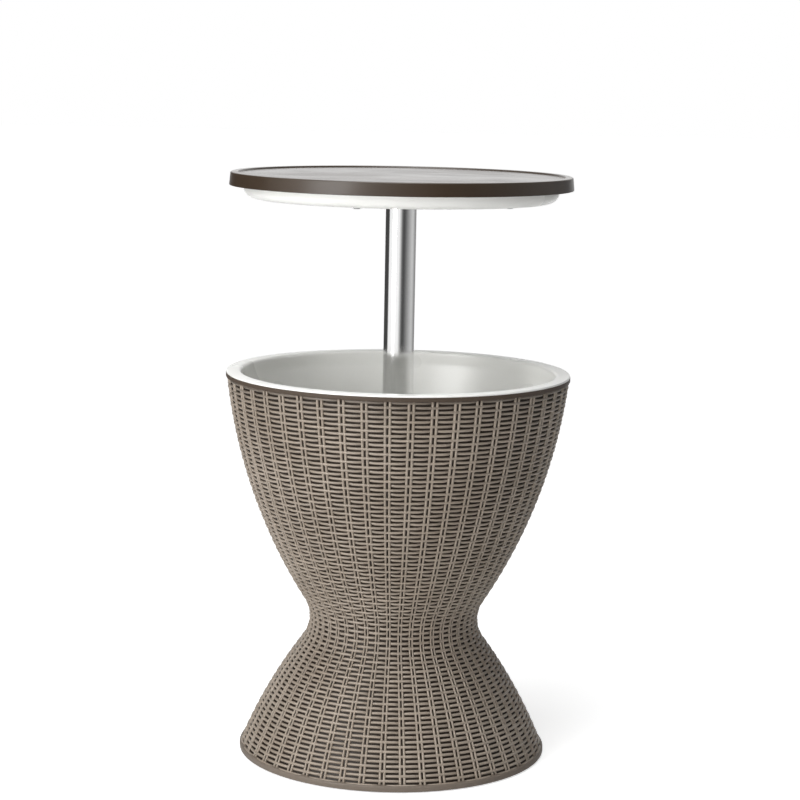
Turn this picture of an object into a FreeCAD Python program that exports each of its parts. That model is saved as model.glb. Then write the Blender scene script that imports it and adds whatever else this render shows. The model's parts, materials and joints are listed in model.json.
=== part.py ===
import FreeCAD, Part
import math
import os

# Drinks table with a cooler tub in its body and a table top that lifts on a pole.
# Millimetres, +Z up, origin on the floor under the pole, front towards -Y.
# The table top is drawn raised, turned to the open end of its twist lock.

V = FreeCAD.Vector
UP = V(0, 0, 1)
ACROSS = V(0, 1, 0)
ORIGIN = V(0, 0, 0)

# Side of the body: two long bell curves joined by a tight curve at the waist
BODY_TOP = 556.0
RIM_RADIUS = 247.5
BASE_RADIUS = 223.0
UPPER_BELL_RADIUS = 765.0
UPPER_BELL_RISE = 79.7
LOWER_BELL_RADIUS = 722.7
LOWER_BELL_DROP = 265.4
WAIST_CURVE = 53.9
WEAVE_DEPTH = 2.4
TOP_BAND = 6.0
TOP_BAND_PROUD = 0.5
TOP_BAND_EDGE = 0.8
BASE_BAND = 9.0
BASE_BAND_ROUND = 2.5
BASE_FLARE = 1.9
SHELL_WALL = 3.0
FLOOR_GAP = 1.5

# Upright stakes of the weave, each rib standing for a pair, its middle turned from +X
STAKE_COUNT = 48
STAKE_PROUD = 1.6
STAKE_GAP = 0.3
STAKE_TURN = 2.8
STAKE_ANGLE = -86.2

# Bulkheads at the waist and the gussets under the lower one
BULKHEAD = 4.0
WEB = 3.0
WEB_COUNT = 6
GUSSET_DEPTH = 42.0
GUSSET_START = 5.0
GUSSET_TOE = 8.0
GUSSET_EDGE_GAP = 6.0
WAIST_SCREW_EDGE = 11.87
WAIST_SCREW_ANGLE = 30.0
WAIST_BOSS = 6.0
WAIST_BOSS_DEPTH = 10.0
BOSS_FLOOR = 1.5
GUSSET_TOE_ROUND = 3.0
COLUMN_ROOM = 2.0
COLUMN_GAP = 0.4

# Cradle that stands on the bulkhead and carries the tub
CRADLE_FLANGE = 3.0
CRADLE_NUT_ROOM = 9.0
CRADLE_ROUND = 6.0
CRADLE_SIDE_GAP = 0.3

# Base plate and pads
PAD_THICKNESS = 3.0
PAD_RADIUS = 14.0
PAD_INSET = 30.0
PAD_EDGE = 0.8
PLATE_THICKNESS = 3.0
PLATE_INSET = 18.0
LEDGE_WIDTH = 17.0
LEDGE_THICKNESS = 3.0
PLATE_SCREW_INSET = 8.0
PLATE_RIB_HEIGHT = 9.0
PLATE_RIB_WALL = 2.5
PLATE_RIB_COUNT = 12
PLATE_RIB_RINGS = (25.0, 130.0)
PLATE_RIB_ROUND = 4.0
PLATE_RIB_GAP = 4.0

# Tub
TUB_WALL = 3.0
TUB_DEPTH = 256.0
TUB_SIDE_GAP = 7.56
TUB_FLOOR_ROUND = 28.0
RIM_THICKNESS = 2.5
RIM_OVERHANG = 0.5
RIM_EDGE = 1.6
RIM_LEDGE = 21.7
MOUTH_DEPTH = 20.5
MOUTH_ROUND = 4.5
SHOULDER_ROUND = 30.0
SNAP_SKIRT_WALL = 2.0
SNAP_SKIRT_DEPTH = 11.0
SNAP_SKIRT_GAP = 1.57
SNAP_SKIRT_EDGE = 0.8
SNAP_HEIGHT = 3.0
SNAP_BEAD = 0.9
SNAP_DROP = 7.0
SNAP_CLEARANCE = 0.5
CHIMNEY_WALL = 3.0
CHIMNEY_DRAFT = 2.0
CHIMNEY_GAP = 0.4
CHIMNEY_EDGE = 2.5

# Pole, and the guide inside the column: two upright channels with a lock pocket at each end
POLE_RADIUS = 22.4
POLE_WALL = 1.5
RUNNING_GAP = 0.08
GUIDE_GAP = 0.15
BUSH_WALL = 1.67
CHANNEL_DEPTH = 3.2
CHANNEL_WIDTH = 8.4
CHANNEL_SPARE = 0.6
LINER_WALL = 2.9
LOCK_ANGLE = 40.0
LUG_SIDE_GAP = 0.4
LUG_END_GAP = 0.3
LUG_HEIGHT = 10.0
LUG_FLOOR_GAP = 0.2
LUG_ROOF_GAP = 0.3
POCKET_END_SPARE = 1.5
KEY_SIDE_GAP = 0.7

# Column that carries the pole
COLUMN_WALL = 1.5
COLUMN_DROP = 86.0
COLUMN_SPARE = 12.5
FIT_GAP = 0.1
COLLAR_HEIGHT = 14.0
COLLAR_WALL = 2.2
COLLAR_LIP = 8.0
COLLAR_SPIGOT = 4.0
COLLAR_ROUND = 6.0
COLLAR_EDGE = 1.0
WIPER_RISE = 4.0
WIPER_HEIGHT = 4.0
WIPER_DEPTH = 3.0
WIPER_EDGE = 0.8
FOOT_WALL = 5.0
FOOT_FLOOR = 4.0
FOOT_EDGE = 2.0
FOOT_DRAIN = 6.0
FOOT_FLANGE_REACH = 25.0
FOOT_FLANGE = 4.0
FOOT_BOLT_EDGE = 10.0
FOOT_GUSSET_DEPTH = 36.0
FOOT_GUSSET_WALL = 4.0

# Parts at the foot of the pole
POLE_OVERLAP = 64.0
PLUG_SPIGOT = 26.0
PLUG_WALL = 7.4
PLUG_TAIL = 2.0
PIN_RADIUS = 2.5
PIN_GAP = 0.02
PLUG_PIN_RISE = 14.0
BUSH_HEIGHT = 25.0
BUSH_LIFT = 0.4
STOP_RING_HEIGHT = 5.0
STOP_RING_GAP = 0.3
STOP_RING_EDGE = 1.0

# Table top and the white pan under it
TABLE_TOP = 841.2
LIP_HEIGHT = 2.2
LIP_WIDTH = 11.7
LIP_ROUND = 2.2
LIP_EDGE = 1.2
DECK_THICKNESS = 3.0
SKIRT_HEIGHT = 18.7
SKIRT_STEP = 2.4
SKIRT_DRAFT = 1.9
SKIRT_WALL = 3.0
SKIRT_EDGE = 0.8
SKIRT_ROOT = 2.0
DECK_RIB_COUNT = 10
DECK_RIB_DEPTH = 7.0
DECK_RIB_WALL = 2.2
DECK_RIB_GAP = 2.4
DECK_RIB_START = 2.0
PAN_DROP = 18.5
PAN_WALL = 3.0
PAN_SIDE_GAP = 0.4
PAN_DRAFT = 1.8
PAN_ROUND = 16.0
PAN_ROOT = 1.5
PAN_BORE_GAP = 0.3
PAN_FLANGE_GAP = 4.1
PAN_PAD = 5.0
PAN_PAD_MARGIN = 5.0
PAN_RIB_HEIGHT = 4.0
PAN_SCREW_COUNT = 5
PAN_SCREW_INSET = 37.6
PAN_SCREW_ANGLE = -108.8
PAN_SCREW_BOSS = 5.5
POLE_FLANGE_RADIUS = 57.0
POLE_FLANGE = 4.0
POLE_SLEEVE = 5.6
SLEEVE_GAP = 0.05
POLE_TOP_GAP = 3.0
POLE_PIN_DROP = 7.0
FLANGE_SCREW_EDGE = 13.0
FLANGE_EDGE = 1.5
FLANGE_ROOT = 2.0
FLANGE_GUSSET_EDGE = 3.0
FLANGE_GUSSET_DROP = 8.5
FLANGE_GUSSET_WALL = 3.0
SOCKET_GAP = 0.6
SOCKET_DEPTH = 3.5

# Drain through the tub floor
DRAIN_CIRCLE = 84.0
DRAIN_ANGLE = 210.0
SUMP_RADIUS = 22.0
SUMP_DEPTH = 2.0
SUMP_BOSS = 24.0
SUMP_BOSS_DEPTH = 4.0
SEAT_NECK = 13.0
SEAT_BORE = 9.6
SEAT_FLANGE = 20.0
SEAT_FLANGE_THICKNESS = 2.5
GASKET = 1.0
GASKET_EDGE = 0.5
SEAT_NECK_DEPTH = 16.0
SEAT_TAIL = 11.4
SEAT_EDGE = 1.2
SEAT_TAIL_DEPTH = 30.0
PIPE_HOLE_GAP = 0.5
NUT_FLATS = 34.0
NUT_HEIGHT = 6.0
PIPE_WALL = 1.7
PLUG_STEM_GAP = 0.3
PLUG_STEM_END = 7.0
PLUG_EDGE = 1.5
PLUG_HEAD_MARGIN = 5.4
PLUG_HEAD_THICKNESS = 4.0
PLUG_GRIP_LENGTH = 26.0
PLUG_GRIP_THICKNESS = 4.0
PLUG_GRIP_HEIGHT = 15.0
PLUG_GRIP_ROUND = 7.0
SEAL_DEPTH = 8.0
SEAL_HEIGHT = 3.2
SEAL_GROOVE = 1.9
SEAL_GAP = 0.05
SEAL_END_GAP = 0.1
SEAL_EDGE = 1.0

# Screws: head radius, head height and shank radius, their lengths, and the hole left round a shank
SCREW_M5 = (4.5, 2.8, 2.4)
SCREW_M4 = (4.0, 1.8, 1.9)
PAN_SCREW = (5.5, 2.8, 1.9)
PLATE_SCREW_LENGTH = 13.0
PAN_SCREW_LENGTH = 20.0
FLANGE_SCREW_LENGTH = 10.5
FLANGE_SCREW_TIP = 0.3
BOLT_END = 1.5
SCREW_END_GAP = 1.5
COLUMN_NUT_FLATS = 8.0
COLUMN_NUT_HEIGHT = 4.0
HOLE_GAP = 0.1
NUT_GAP = 0.05
SCREW_CROWN = 0.45
BOLT_COUNT = 4
BOLT_ANGLE = 45.0

# Roundings smaller than this are drawn as flat chamfers
FINE_EDGE = 3.0

# How far a cutting tool runs past a face, how deep a rib's root is sunk, and when two points are one
OVERRUN = 1.0
SUNK = 1.0
SAME_POINT = 1e-6

# Heights that follow from the ones above
RIM_TOP = BODY_TOP + RIM_THICKNESS
SNAP_Z = BODY_TOP - SNAP_DROP
TUB_FLOOR_Z = BODY_TOP - TUB_DEPTH
PLATE_TOP = PAD_THICKNESS + PLATE_THICKNESS
DECK_TOP = TABLE_TOP - LIP_HEIGHT
DECK_UNDERSIDE = DECK_TOP - DECK_THICKNESS
SKIRT_BOTTOM = TABLE_TOP - SKIRT_HEIGHT
PAN_BOTTOM = SKIRT_BOTTOM - PAN_DROP
CLOSED_GAP = 0.5
LIFT = SKIRT_BOTTOM - RIM_TOP - CLOSED_GAP
COLUMN_TOP = BODY_TOP - COLUMN_DROP
WIPER_Z = COLUMN_TOP + WIPER_RISE
POLE_TOP = DECK_UNDERSIDE - POLE_TOP_GAP
POLE_PIN_Z = POLE_TOP - POLE_PIN_DROP
POLE_BOTTOM = COLUMN_TOP - POLE_OVERLAP
PLUG_PIN_Z = POLE_BOTTOM + PLUG_PIN_RISE
LUG_BOTTOM = POLE_BOTTOM - LUG_HEIGHT
COLUMN_BOTTOM = LUG_BOTTOM - LIFT - COLUMN_SPARE
SEAT_NECK_BOTTOM = TUB_FLOOR_Z - SEAT_NECK_DEPTH
SEAT_TAIL_BOTTOM = TUB_FLOOR_Z - SEAT_TAIL_DEPTH
SEAL_BOTTOM = TUB_FLOOR_Z - SEAL_DEPTH

# Radii that follow from the ones above, from the rim inwards and from the pole outwards
UPPER_BELL_REACH = RIM_RADIUS - TOP_BAND_PROUD
LOWER_BELL_REACH = BASE_RADIUS + BASE_FLARE
MOUTH_RADIUS = RIM_RADIUS - RIM_LEDGE
SKIRT_RADIUS = RIM_RADIUS - SKIRT_STEP
LIP_OUTER_RADIUS = SKIRT_RADIUS - SKIRT_DRAFT
DECK_RADIUS = LIP_OUTER_RADIUS - LIP_WIDTH
PAN_TOP_RADIUS = MOUTH_RADIUS - PAN_SIDE_GAP
PAN_CORNER_RADIUS = PAN_TOP_RADIUS - PAN_DRAFT
PAN_FLANGE_RADIUS = SKIRT_RADIUS - SKIRT_WALL - PAN_FLANGE_GAP
PAN_PAD_RADIUS = POLE_FLANGE_RADIUS + PAN_PAD_MARGIN
PAN_SCREW_CIRCLE = PAN_CORNER_RADIUS - PAN_SCREW_INSET
DECK_RIB_INNER_RADIUS = POLE_FLANGE_RADIUS + DECK_RIB_START
DECK_RIB_OUTER_RADIUS = PAN_TOP_RADIUS - PAN_WALL - DECK_RIB_GAP
FLANGE_SCREW_CIRCLE = POLE_FLANGE_RADIUS - FLANGE_SCREW_EDGE
PLATE_RADIUS = BASE_RADIUS - PLATE_INSET
PLATE_SCREW_CIRCLE = PLATE_RADIUS - PLATE_SCREW_INSET
LEDGE_INNER_RADIUS = PLATE_RADIUS - LEDGE_WIDTH
PLATE_RIB_OUTER_RADIUS = LEDGE_INNER_RADIUS - PLATE_RIB_GAP
PAD_CIRCLE = PLATE_RADIUS - PAD_INSET
BEARING_RADIUS = POLE_RADIUS + RUNNING_GAP
BUSH_RADIUS = BEARING_RADIUS + BUSH_WALL
GUIDE_BORE = BUSH_RADIUS + GUIDE_GAP
CHANNEL_RADIUS = GUIDE_BORE + CHANNEL_DEPTH
LUG_RADIUS = CHANNEL_RADIUS - LUG_END_GAP
LUG_WIDTH = CHANNEL_WIDTH - 2.0 * LUG_SIDE_GAP
KEY_WIDTH = CHANNEL_WIDTH - 2.0 * KEY_SIDE_GAP
STOP_RING_RADIUS = GUIDE_BORE - STOP_RING_GAP
LINER_RADIUS = CHANNEL_RADIUS + LINER_WALL
COLUMN_RADIUS = LINER_RADIUS + FIT_GAP + COLUMN_WALL
CHIMNEY_INNER_RADIUS = COLUMN_RADIUS + CHIMNEY_GAP
COLLAR_LIP_RADIUS = CHIMNEY_INNER_RADIUS + CHIMNEY_WALL + CHIMNEY_GAP
COLLAR_RADIUS = COLLAR_LIP_RADIUS + COLLAR_WALL
FOOT_FLANGE_RADIUS = COLUMN_RADIUS + FOOT_FLANGE_REACH
FOOT_BOLT_CIRCLE = FOOT_FLANGE_RADIUS - FOOT_BOLT_EDGE
GUSSET_INNER_RADIUS = FOOT_FLANGE_RADIUS + GUSSET_START
CRADLE_INNER_RADIUS = FOOT_BOLT_CIRCLE + CRADLE_NUT_ROOM
SLEEVE_BORE = POLE_RADIUS + SLEEVE_GAP
PLUG_BORE = POLE_RADIUS - PLUG_WALL
PIPE_HOLE = SEAT_NECK + PIPE_HOLE_GAP
PLUG_STEM = SEAT_BORE - PLUG_STEM_GAP


# Drawing helpers


def angles(count, first=0.0):
    """Angles in degrees of count equal steps round the pole."""
    return [first + 360.0 * i / count for i in range(count)]


def polar(radius, angle, z=0.0):
    """Point at a radius and an angle in degrees round the pole."""
    a = math.radians(angle)
    return V(radius * math.cos(a), radius * math.sin(a), z)


def turned(shape, angle):
    """Copy of a shape turned round the pole."""
    copy = shape.copy()
    copy.rotate(ORIGIN, UP, angle)
    return copy


def disc(radius, low, high, centre=ORIGIN):
    """Upright cylinder between two heights."""
    return Part.makeCylinder(radius, high - low, V(centre.x, centre.y, low))


def ring(inner, outer, low, high, centre=ORIGIN):
    """Upright tube between two heights."""
    return disc(outer, low, high, centre).cut(disc(inner, low - OVERRUN, high + OVERRUN, centre))


def rounded_wire(corners):
    """Closed wire through (r, z) corners, each with an optional rounding, flat where it is a fine edge."""
    points = [V(c[0], 0, c[1]) for c in corners]
    rounds = [c[2] if len(c) > 2 else 0.0 for c in corners]
    spans = []
    for i, point in enumerate(points):
        before = (points[i - 1] - point).normalize()
        after = (points[(i + 1) % len(points)] - point).normalize()
        if rounds[i] == 0.0:
            spans.append((point, None, point))
            continue
        half = 0.5 * before.getAngle(after)
        reach = rounds[i] / math.tan(half)
        bisector = (before + after).normalize()
        centre = point + bisector * (rounds[i] / math.sin(half))
        middle = None if rounds[i] < FINE_EDGE else centre - bisector * rounds[i]
        spans.append((point + before * reach, middle, point + after * reach))
    edges = []
    for i, (start, middle, end) in enumerate(spans):
        if middle is not None:
            edges.append(Part.Arc(start, middle, end).toShape())
        elif (end - start).Length > SAME_POINT:
            edges.append(Part.LineSegment(start, end).toShape())
        following = spans[(i + 1) % len(spans)][0]
        if (following - end).Length > SAME_POINT:
            edges.append(Part.LineSegment(end, following).toShape())
    return Part.Wire(edges)


def spun(wire):
    """Solid made by turning a closed half section once round the pole."""
    return Part.Face(wire).revolve(ORIGIN, UP, 360.0)


def turned_section(*corners):
    """Solid of revolution from the corners of its half section."""
    return spun(rounded_wire(corners))


def radial_plate(corners, thickness, angle):
    """Flat web standing on a radius, outlined by (r, z) corners."""
    plate = Part.Face(rounded_wire(corners)).extrude(V(0, thickness, 0))
    plate.translate(V(0, -0.5 * thickness, 0))
    return turned(plate, angle)


def drilled(shape, radius, circle, places, low, high):
    """Shape with upright round holes at angles on a circle."""
    holes = [disc(radius, low, high, polar(circle, angle)) for angle in places]
    return shape.cut(Part.makeCompound(holes))


def rims(shape):
    """Full round edges of a shape."""
    return [e for e in shape.Edges if e.Closed and len(e.Vertexes) == 1]


def screws_on_circle(size, circle, places, seat, length, head_up):
    """Screws with domed heads on a circle, heads on the seat height."""
    head_radius, head_height, shank_radius = size
    way = 1.0 if head_up else -1.0
    screws = []
    for angle in places:
        centre = polar(circle, angle, seat)
        head = Part.makeCylinder(head_radius, head_height, centre, UP * way)
        crown = [e for e in rims(head) if abs(e.CenterOfMass.z - seat) > 0.5 * head_height]
        head = head.makeChamfer(SCREW_CROWN * head_height, crown)
        shank = Part.makeCylinder(shank_radius, length, centre, UP * -way)
        screws.append(head.fuse(shank))
    return Part.makeCompound(screws)


# Side curve of the body


def side_centres():
    """Centres (r, z) of the upper bell, the lower bell and the waist curve."""
    reach = math.sqrt(UPPER_BELL_RADIUS ** 2 - UPPER_BELL_RISE ** 2)
    upper = V(UPPER_BELL_REACH - reach, 0, BODY_TOP + UPPER_BELL_RISE)
    reach = math.sqrt(LOWER_BELL_RADIUS ** 2 - LOWER_BELL_DROP ** 2)
    lower = V(LOWER_BELL_REACH - reach, 0, -LOWER_BELL_DROP)
    # The waist centre is as far from each bell centre as the two radii together
    to_lower = LOWER_BELL_RADIUS + WAIST_CURVE
    to_upper = UPPER_BELL_RADIUS + WAIST_CURVE
    between = upper - lower
    span = between.Length
    along = (to_lower ** 2 - to_upper ** 2 + span ** 2) / (2.0 * span)
    out = math.sqrt(to_lower ** 2 - along ** 2)
    direction = between * (1.0 / span)
    waist = lower + direction * along + V(direction.z, 0, -direction.x) * out
    return upper, lower, waist


UPPER_CENTRE, LOWER_CENTRE, WAIST_CENTRE = side_centres()
WAIST_Z = WAIST_CENTRE.z


def side_joints(inset):
    """Heights where the waist curve meets the lower and upper bells."""
    heights = []
    for centre, radius in ((LOWER_CENTRE, LOWER_BELL_RADIUS), (UPPER_CENTRE, UPPER_BELL_RADIUS)):
        direction = (WAIST_CENTRE - centre).normalize()
        heights.append((centre + direction * (radius - inset)).z)
    return heights


def side_radius(z, inset):
    """Radius of the side curve at a height, moved square to itself by inset."""
    low_joint, high_joint = side_joints(inset)
    if z < low_joint:
        return LOWER_CENTRE.x + math.sqrt((LOWER_BELL_RADIUS - inset) ** 2 - (z - LOWER_CENTRE.z) ** 2)
    if z > high_joint:
        return UPPER_CENTRE.x + math.sqrt((UPPER_BELL_RADIUS - inset) ** 2 - (z - UPPER_CENTRE.z) ** 2)
    return WAIST_CENTRE.x - math.sqrt((WAIST_CURVE + inset) ** 2 - (z - WAIST_CENTRE.z) ** 2)


def side_edges(start, end, inset):
    """Arcs of the side curve from one height to another."""
    stops = [z for z in side_joints(inset) if min(start, end) < z < max(start, end)]
    stops = sorted([start, end] + stops, reverse=end < start)
    edges = []
    for a, b in zip(stops, stops[1:]):
        points = [V(side_radius(z, inset), 0, z) for z in (a, 0.5 * (a + b), b)]
        edges.append(Part.Arc(*points).toShape())
    return edges


def side_wire(start, end, outer, inner):
    """Closed half section between two insets of the side curve."""
    outside = side_edges(start, end, outer)
    inside = side_edges(end, start, inner)
    top = Part.LineSegment(outside[-1].Vertexes[-1].Point, V(side_radius(end, inner), 0, end)).toShape()
    bottom = Part.LineSegment(V(side_radius(start, inner), 0, start), V(side_radius(start, outer), 0, start))
    return Part.Wire(outside + [top] + inside + [bottom.toShape()])


def side_core(low, high, inset):
    """Solid inside the side curve between two heights."""
    side = side_edges(low, high, inset)
    base_edge = Part.LineSegment(V(0, 0, low), V(side_radius(low, inset), 0, low)).toShape()
    top_edge = Part.LineSegment(V(side_radius(high, inset), 0, high), V(0, 0, high)).toShape()
    axis = Part.LineSegment(V(0, 0, high), V(0, 0, low)).toShape()
    return spun(Part.Wire([base_edge] + side + [top_edge, axis]))


INNER_INSET = WEAVE_DEPTH + SHELL_WALL
WEB_INSET = WEAVE_DEPTH + 0.5 * SHELL_WALL
WAIST_SCREW_CIRCLE = side_radius(WAIST_Z, INNER_INSET) - WAIST_SCREW_EDGE
SNAP_SKIRT_RADIUS = side_radius(BODY_TOP, INNER_INSET) - SNAP_SKIRT_GAP
TUB_FLOOR_RADIUS = side_radius(TUB_FLOOR_Z, INNER_INSET) - TUB_SIDE_GAP - TUB_WALL


# Body pieces


def make_shell_upper():
    """Bell of the body above the waist, with its bulkhead and the groove the tub snaps into."""
    band_bottom = BODY_TOP - TOP_BAND
    wall = spun(side_wire(WAIST_Z, BODY_TOP, WEAVE_DEPTH, INNER_INSET))
    band = turned_section(
        (side_radius(BODY_TOP, INNER_INSET), BODY_TOP),
        (RIM_RADIUS, BODY_TOP, TOP_BAND_EDGE),
        (RIM_RADIUS, band_bottom, TOP_BAND_EDGE),
        (side_radius(band_bottom, WEB_INSET), band_bottom - WEAVE_DEPTH),
        (side_radius(band_bottom, WEB_INSET), band_bottom),
    )
    top = WAIST_Z + BULKHEAD
    bulkhead = side_core(WAIST_Z, top, WEB_INSET)
    bulkhead = bulkhead.cut(disc(COLUMN_RADIUS + COLUMN_ROOM, WAIST_Z - OVERRUN, top + OVERRUN))
    reach = 0.5 * SNAP_HEIGHT + SNAP_CLEARANCE
    groove_radius = SNAP_SKIRT_RADIUS + SNAP_BEAD + SNAP_CLEARANCE
    groove = ring(SNAP_SKIRT_RADIUS - SNAP_SKIRT_WALL, groove_radius, SNAP_Z - reach, SNAP_Z + reach)
    shell = wall.multiFuse([band, bulkhead]).cut(groove)
    return waist_drilled(shell, WAIST_Z - OVERRUN, top + OVERRUN)


def stakes(low, high):
    """Upright ribs that lie on the shell between two heights."""
    section = Part.Face(side_wire(low, high, WEAVE_DEPTH - STAKE_PROUD, WEAVE_DEPTH - STAKE_GAP))
    stake = turned(section.revolve(ORIGIN, UP, STAKE_TURN), STAKE_ANGLE - 0.5 * STAKE_TURN)
    return Part.makeCompound([turned(stake, angle) for angle in angles(STAKE_COUNT)])


def make_stakes_upper():
    """Stakes of the upper shell, from the waist to the band under the rim."""
    return stakes(WAIST_Z, BODY_TOP - TOP_BAND - WEAVE_DEPTH)


def make_stakes_lower():
    """Stakes of the lower shell, from the band at the floor to the waist."""
    return stakes(FLOOR_GAP + BASE_BAND, WAIST_Z)


def waist_drilled(shape, low, high):
    """Shape with the holes at the waist for the shell screws, the column bolts and the drain pipe."""
    hole = SCREW_M5[2] + HOLE_GAP
    shape = drilled(shape, hole, WAIST_SCREW_CIRCLE, angles(WEB_COUNT, WAIST_SCREW_ANGLE), low, high)
    shape = drilled(shape, hole, FOOT_BOLT_CIRCLE, angles(BOLT_COUNT, BOLT_ANGLE), low, high)
    return drilled(shape, PIPE_HOLE, DRAIN_CIRCLE, [DRAIN_ANGLE], low, high)


def make_tub_cradle():
    """Webs on a flange that stand on the upper bulkhead and carry the tub's floor."""
    low = WAIST_Z + BULKHEAD
    flange_top = low + CRADLE_FLANGE
    web_top = TUB_FLOOR_Z - TUB_WALL
    side_inset = INNER_INSET + CRADLE_SIDE_GAP
    flange = ring(CRADLE_INNER_RADIUS, side_radius(low, side_inset), low, flange_top)
    outline = (
        (CRADLE_INNER_RADIUS, low),
        (RIM_RADIUS, low),
        (RIM_RADIUS, web_top),
        (CRADLE_INNER_RADIUS, web_top, CRADLE_ROUND),
    )
    room = side_core(low, web_top, side_inset)
    webs = [radial_plate(outline, WEB, angle).common(room) for angle in angles(WEB_COUNT)]
    return waist_drilled(flange.multiFuse(webs), low - OVERRUN, flange_top + OVERRUN)


def make_shell_lower():
    """Flared foot of the body below the waist, with its bulkhead and gussets."""
    wall = spun(side_wire(FLOOR_GAP, WAIST_Z, WEAVE_DEPTH, INNER_INSET))
    band_top = FLOOR_GAP + BASE_BAND
    band = turned_section(
        (side_radius(FLOOR_GAP, INNER_INSET), FLOOR_GAP),
        (BASE_RADIUS, FLOOR_GAP, BASE_BAND_ROUND),
        (BASE_RADIUS, band_top, BASE_BAND_ROUND),
        (side_radius(band_top, WEB_INSET), band_top),
        (side_radius(band_top, INNER_INSET), band_top),
    )
    ledge_top = PLATE_TOP + LEDGE_THICKNESS
    ledge = side_core(PLATE_TOP, ledge_top, WEB_INSET)
    ledge = ledge.cut(disc(LEDGE_INNER_RADIUS, PLATE_TOP - OVERRUN, ledge_top + OVERRUN))
    bulkhead_bottom = WAIST_Z - BULKHEAD
    bulkhead = side_core(bulkhead_bottom, WAIST_Z, WEB_INSET)
    gusset_bottom = bulkhead_bottom - GUSSET_DEPTH
    outline = (
        (GUSSET_INNER_RADIUS, bulkhead_bottom + SUNK),
        (GUSSET_INNER_RADIUS, bulkhead_bottom - GUSSET_TOE, GUSSET_TOE_ROUND),
        (side_radius(gusset_bottom, INNER_INSET) - GUSSET_EDGE_GAP, gusset_bottom),
        (BASE_RADIUS, gusset_bottom),
        (BASE_RADIUS, bulkhead_bottom + SUNK),
    )
    room = side_core(gusset_bottom, bulkhead_bottom + SUNK, WEB_INSET)
    pieces = [radial_plate(outline, WEB, angle).common(room) for angle in angles(WEB_COUNT)]
    places = angles(WEB_COUNT, WAIST_SCREW_ANGLE)
    boss_bottom = bulkhead_bottom - WAIST_BOSS_DEPTH
    plate_boss_top = ledge_top + PLATE_RIB_HEIGHT
    for angle in places:
        screw = polar(WAIST_SCREW_CIRCLE, angle)
        pieces.append(disc(WAIST_BOSS, boss_bottom, bulkhead_bottom + SUNK, screw))
        pieces.append(disc(WAIST_BOSS, PLATE_TOP, plate_boss_top, polar(PLATE_SCREW_CIRCLE, angle)))
    shell = wall.multiFuse([band, ledge, bulkhead] + pieces)
    shell = shell.cut(disc(COLUMN_RADIUS + COLUMN_GAP, boss_bottom, WAIST_Z + OVERRUN))
    shell = waist_drilled(shell, boss_bottom + BOSS_FLOOR, WAIST_Z + OVERRUN)
    hole = SCREW_M4[2] + HOLE_GAP
    return drilled(shell, hole, PLATE_SCREW_CIRCLE, places, 0.0, plate_boss_top - BOSS_FLOOR)


def make_base_plate():
    """Ribbed plate that closes the foot."""
    rib_top = PLATE_TOP + PLATE_RIB_HEIGHT
    rib_bottom = PLATE_TOP - SUNK
    plate = disc(PLATE_RADIUS, PAD_THICKNESS, PLATE_TOP)
    ribs = [ring(r, r + PLATE_RIB_WALL, rib_bottom, rib_top) for r in PLATE_RIB_RINGS]
    rib_start = PLATE_RIB_RINGS[0] + SUNK
    outline = (
        (rib_start, rib_bottom),
        (PLATE_RIB_OUTER_RADIUS, rib_bottom),
        (PLATE_RIB_OUTER_RADIUS, rib_top, PLATE_RIB_ROUND),
        (rib_start, rib_top),
    )
    rib_angle = 180.0 / PLATE_RIB_COUNT
    ribs += [radial_plate(outline, PLATE_RIB_WALL, angle) for angle in angles(PLATE_RIB_COUNT, rib_angle)]
    plate = plate.multiFuse(ribs)
    plate = drilled(plate, PIPE_HOLE, DRAIN_CIRCLE, [DRAIN_ANGLE], 0.0, rib_top + OVERRUN)
    places = angles(WEB_COUNT, WAIST_SCREW_ANGLE)
    return drilled(plate, SCREW_M4[2] + HOLE_GAP, PLATE_SCREW_CIRCLE, places, 0.0, rib_top)


def make_foot_pads():
    """Rubber pads that stand the plate just off the floor."""
    pads = []
    for angle in angles(WEB_COUNT):
        pad = disc(PAD_RADIUS, 0.0, PAD_THICKNESS, polar(PAD_CIRCLE, angle))
        floor_rim = [e for e in rims(pad) if e.CenterOfMass.z < 0.5 * PAD_THICKNESS]
        pads.append(pad.makeChamfer(PAD_EDGE, floor_rim))
    return Part.makeCompound(pads)


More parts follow.
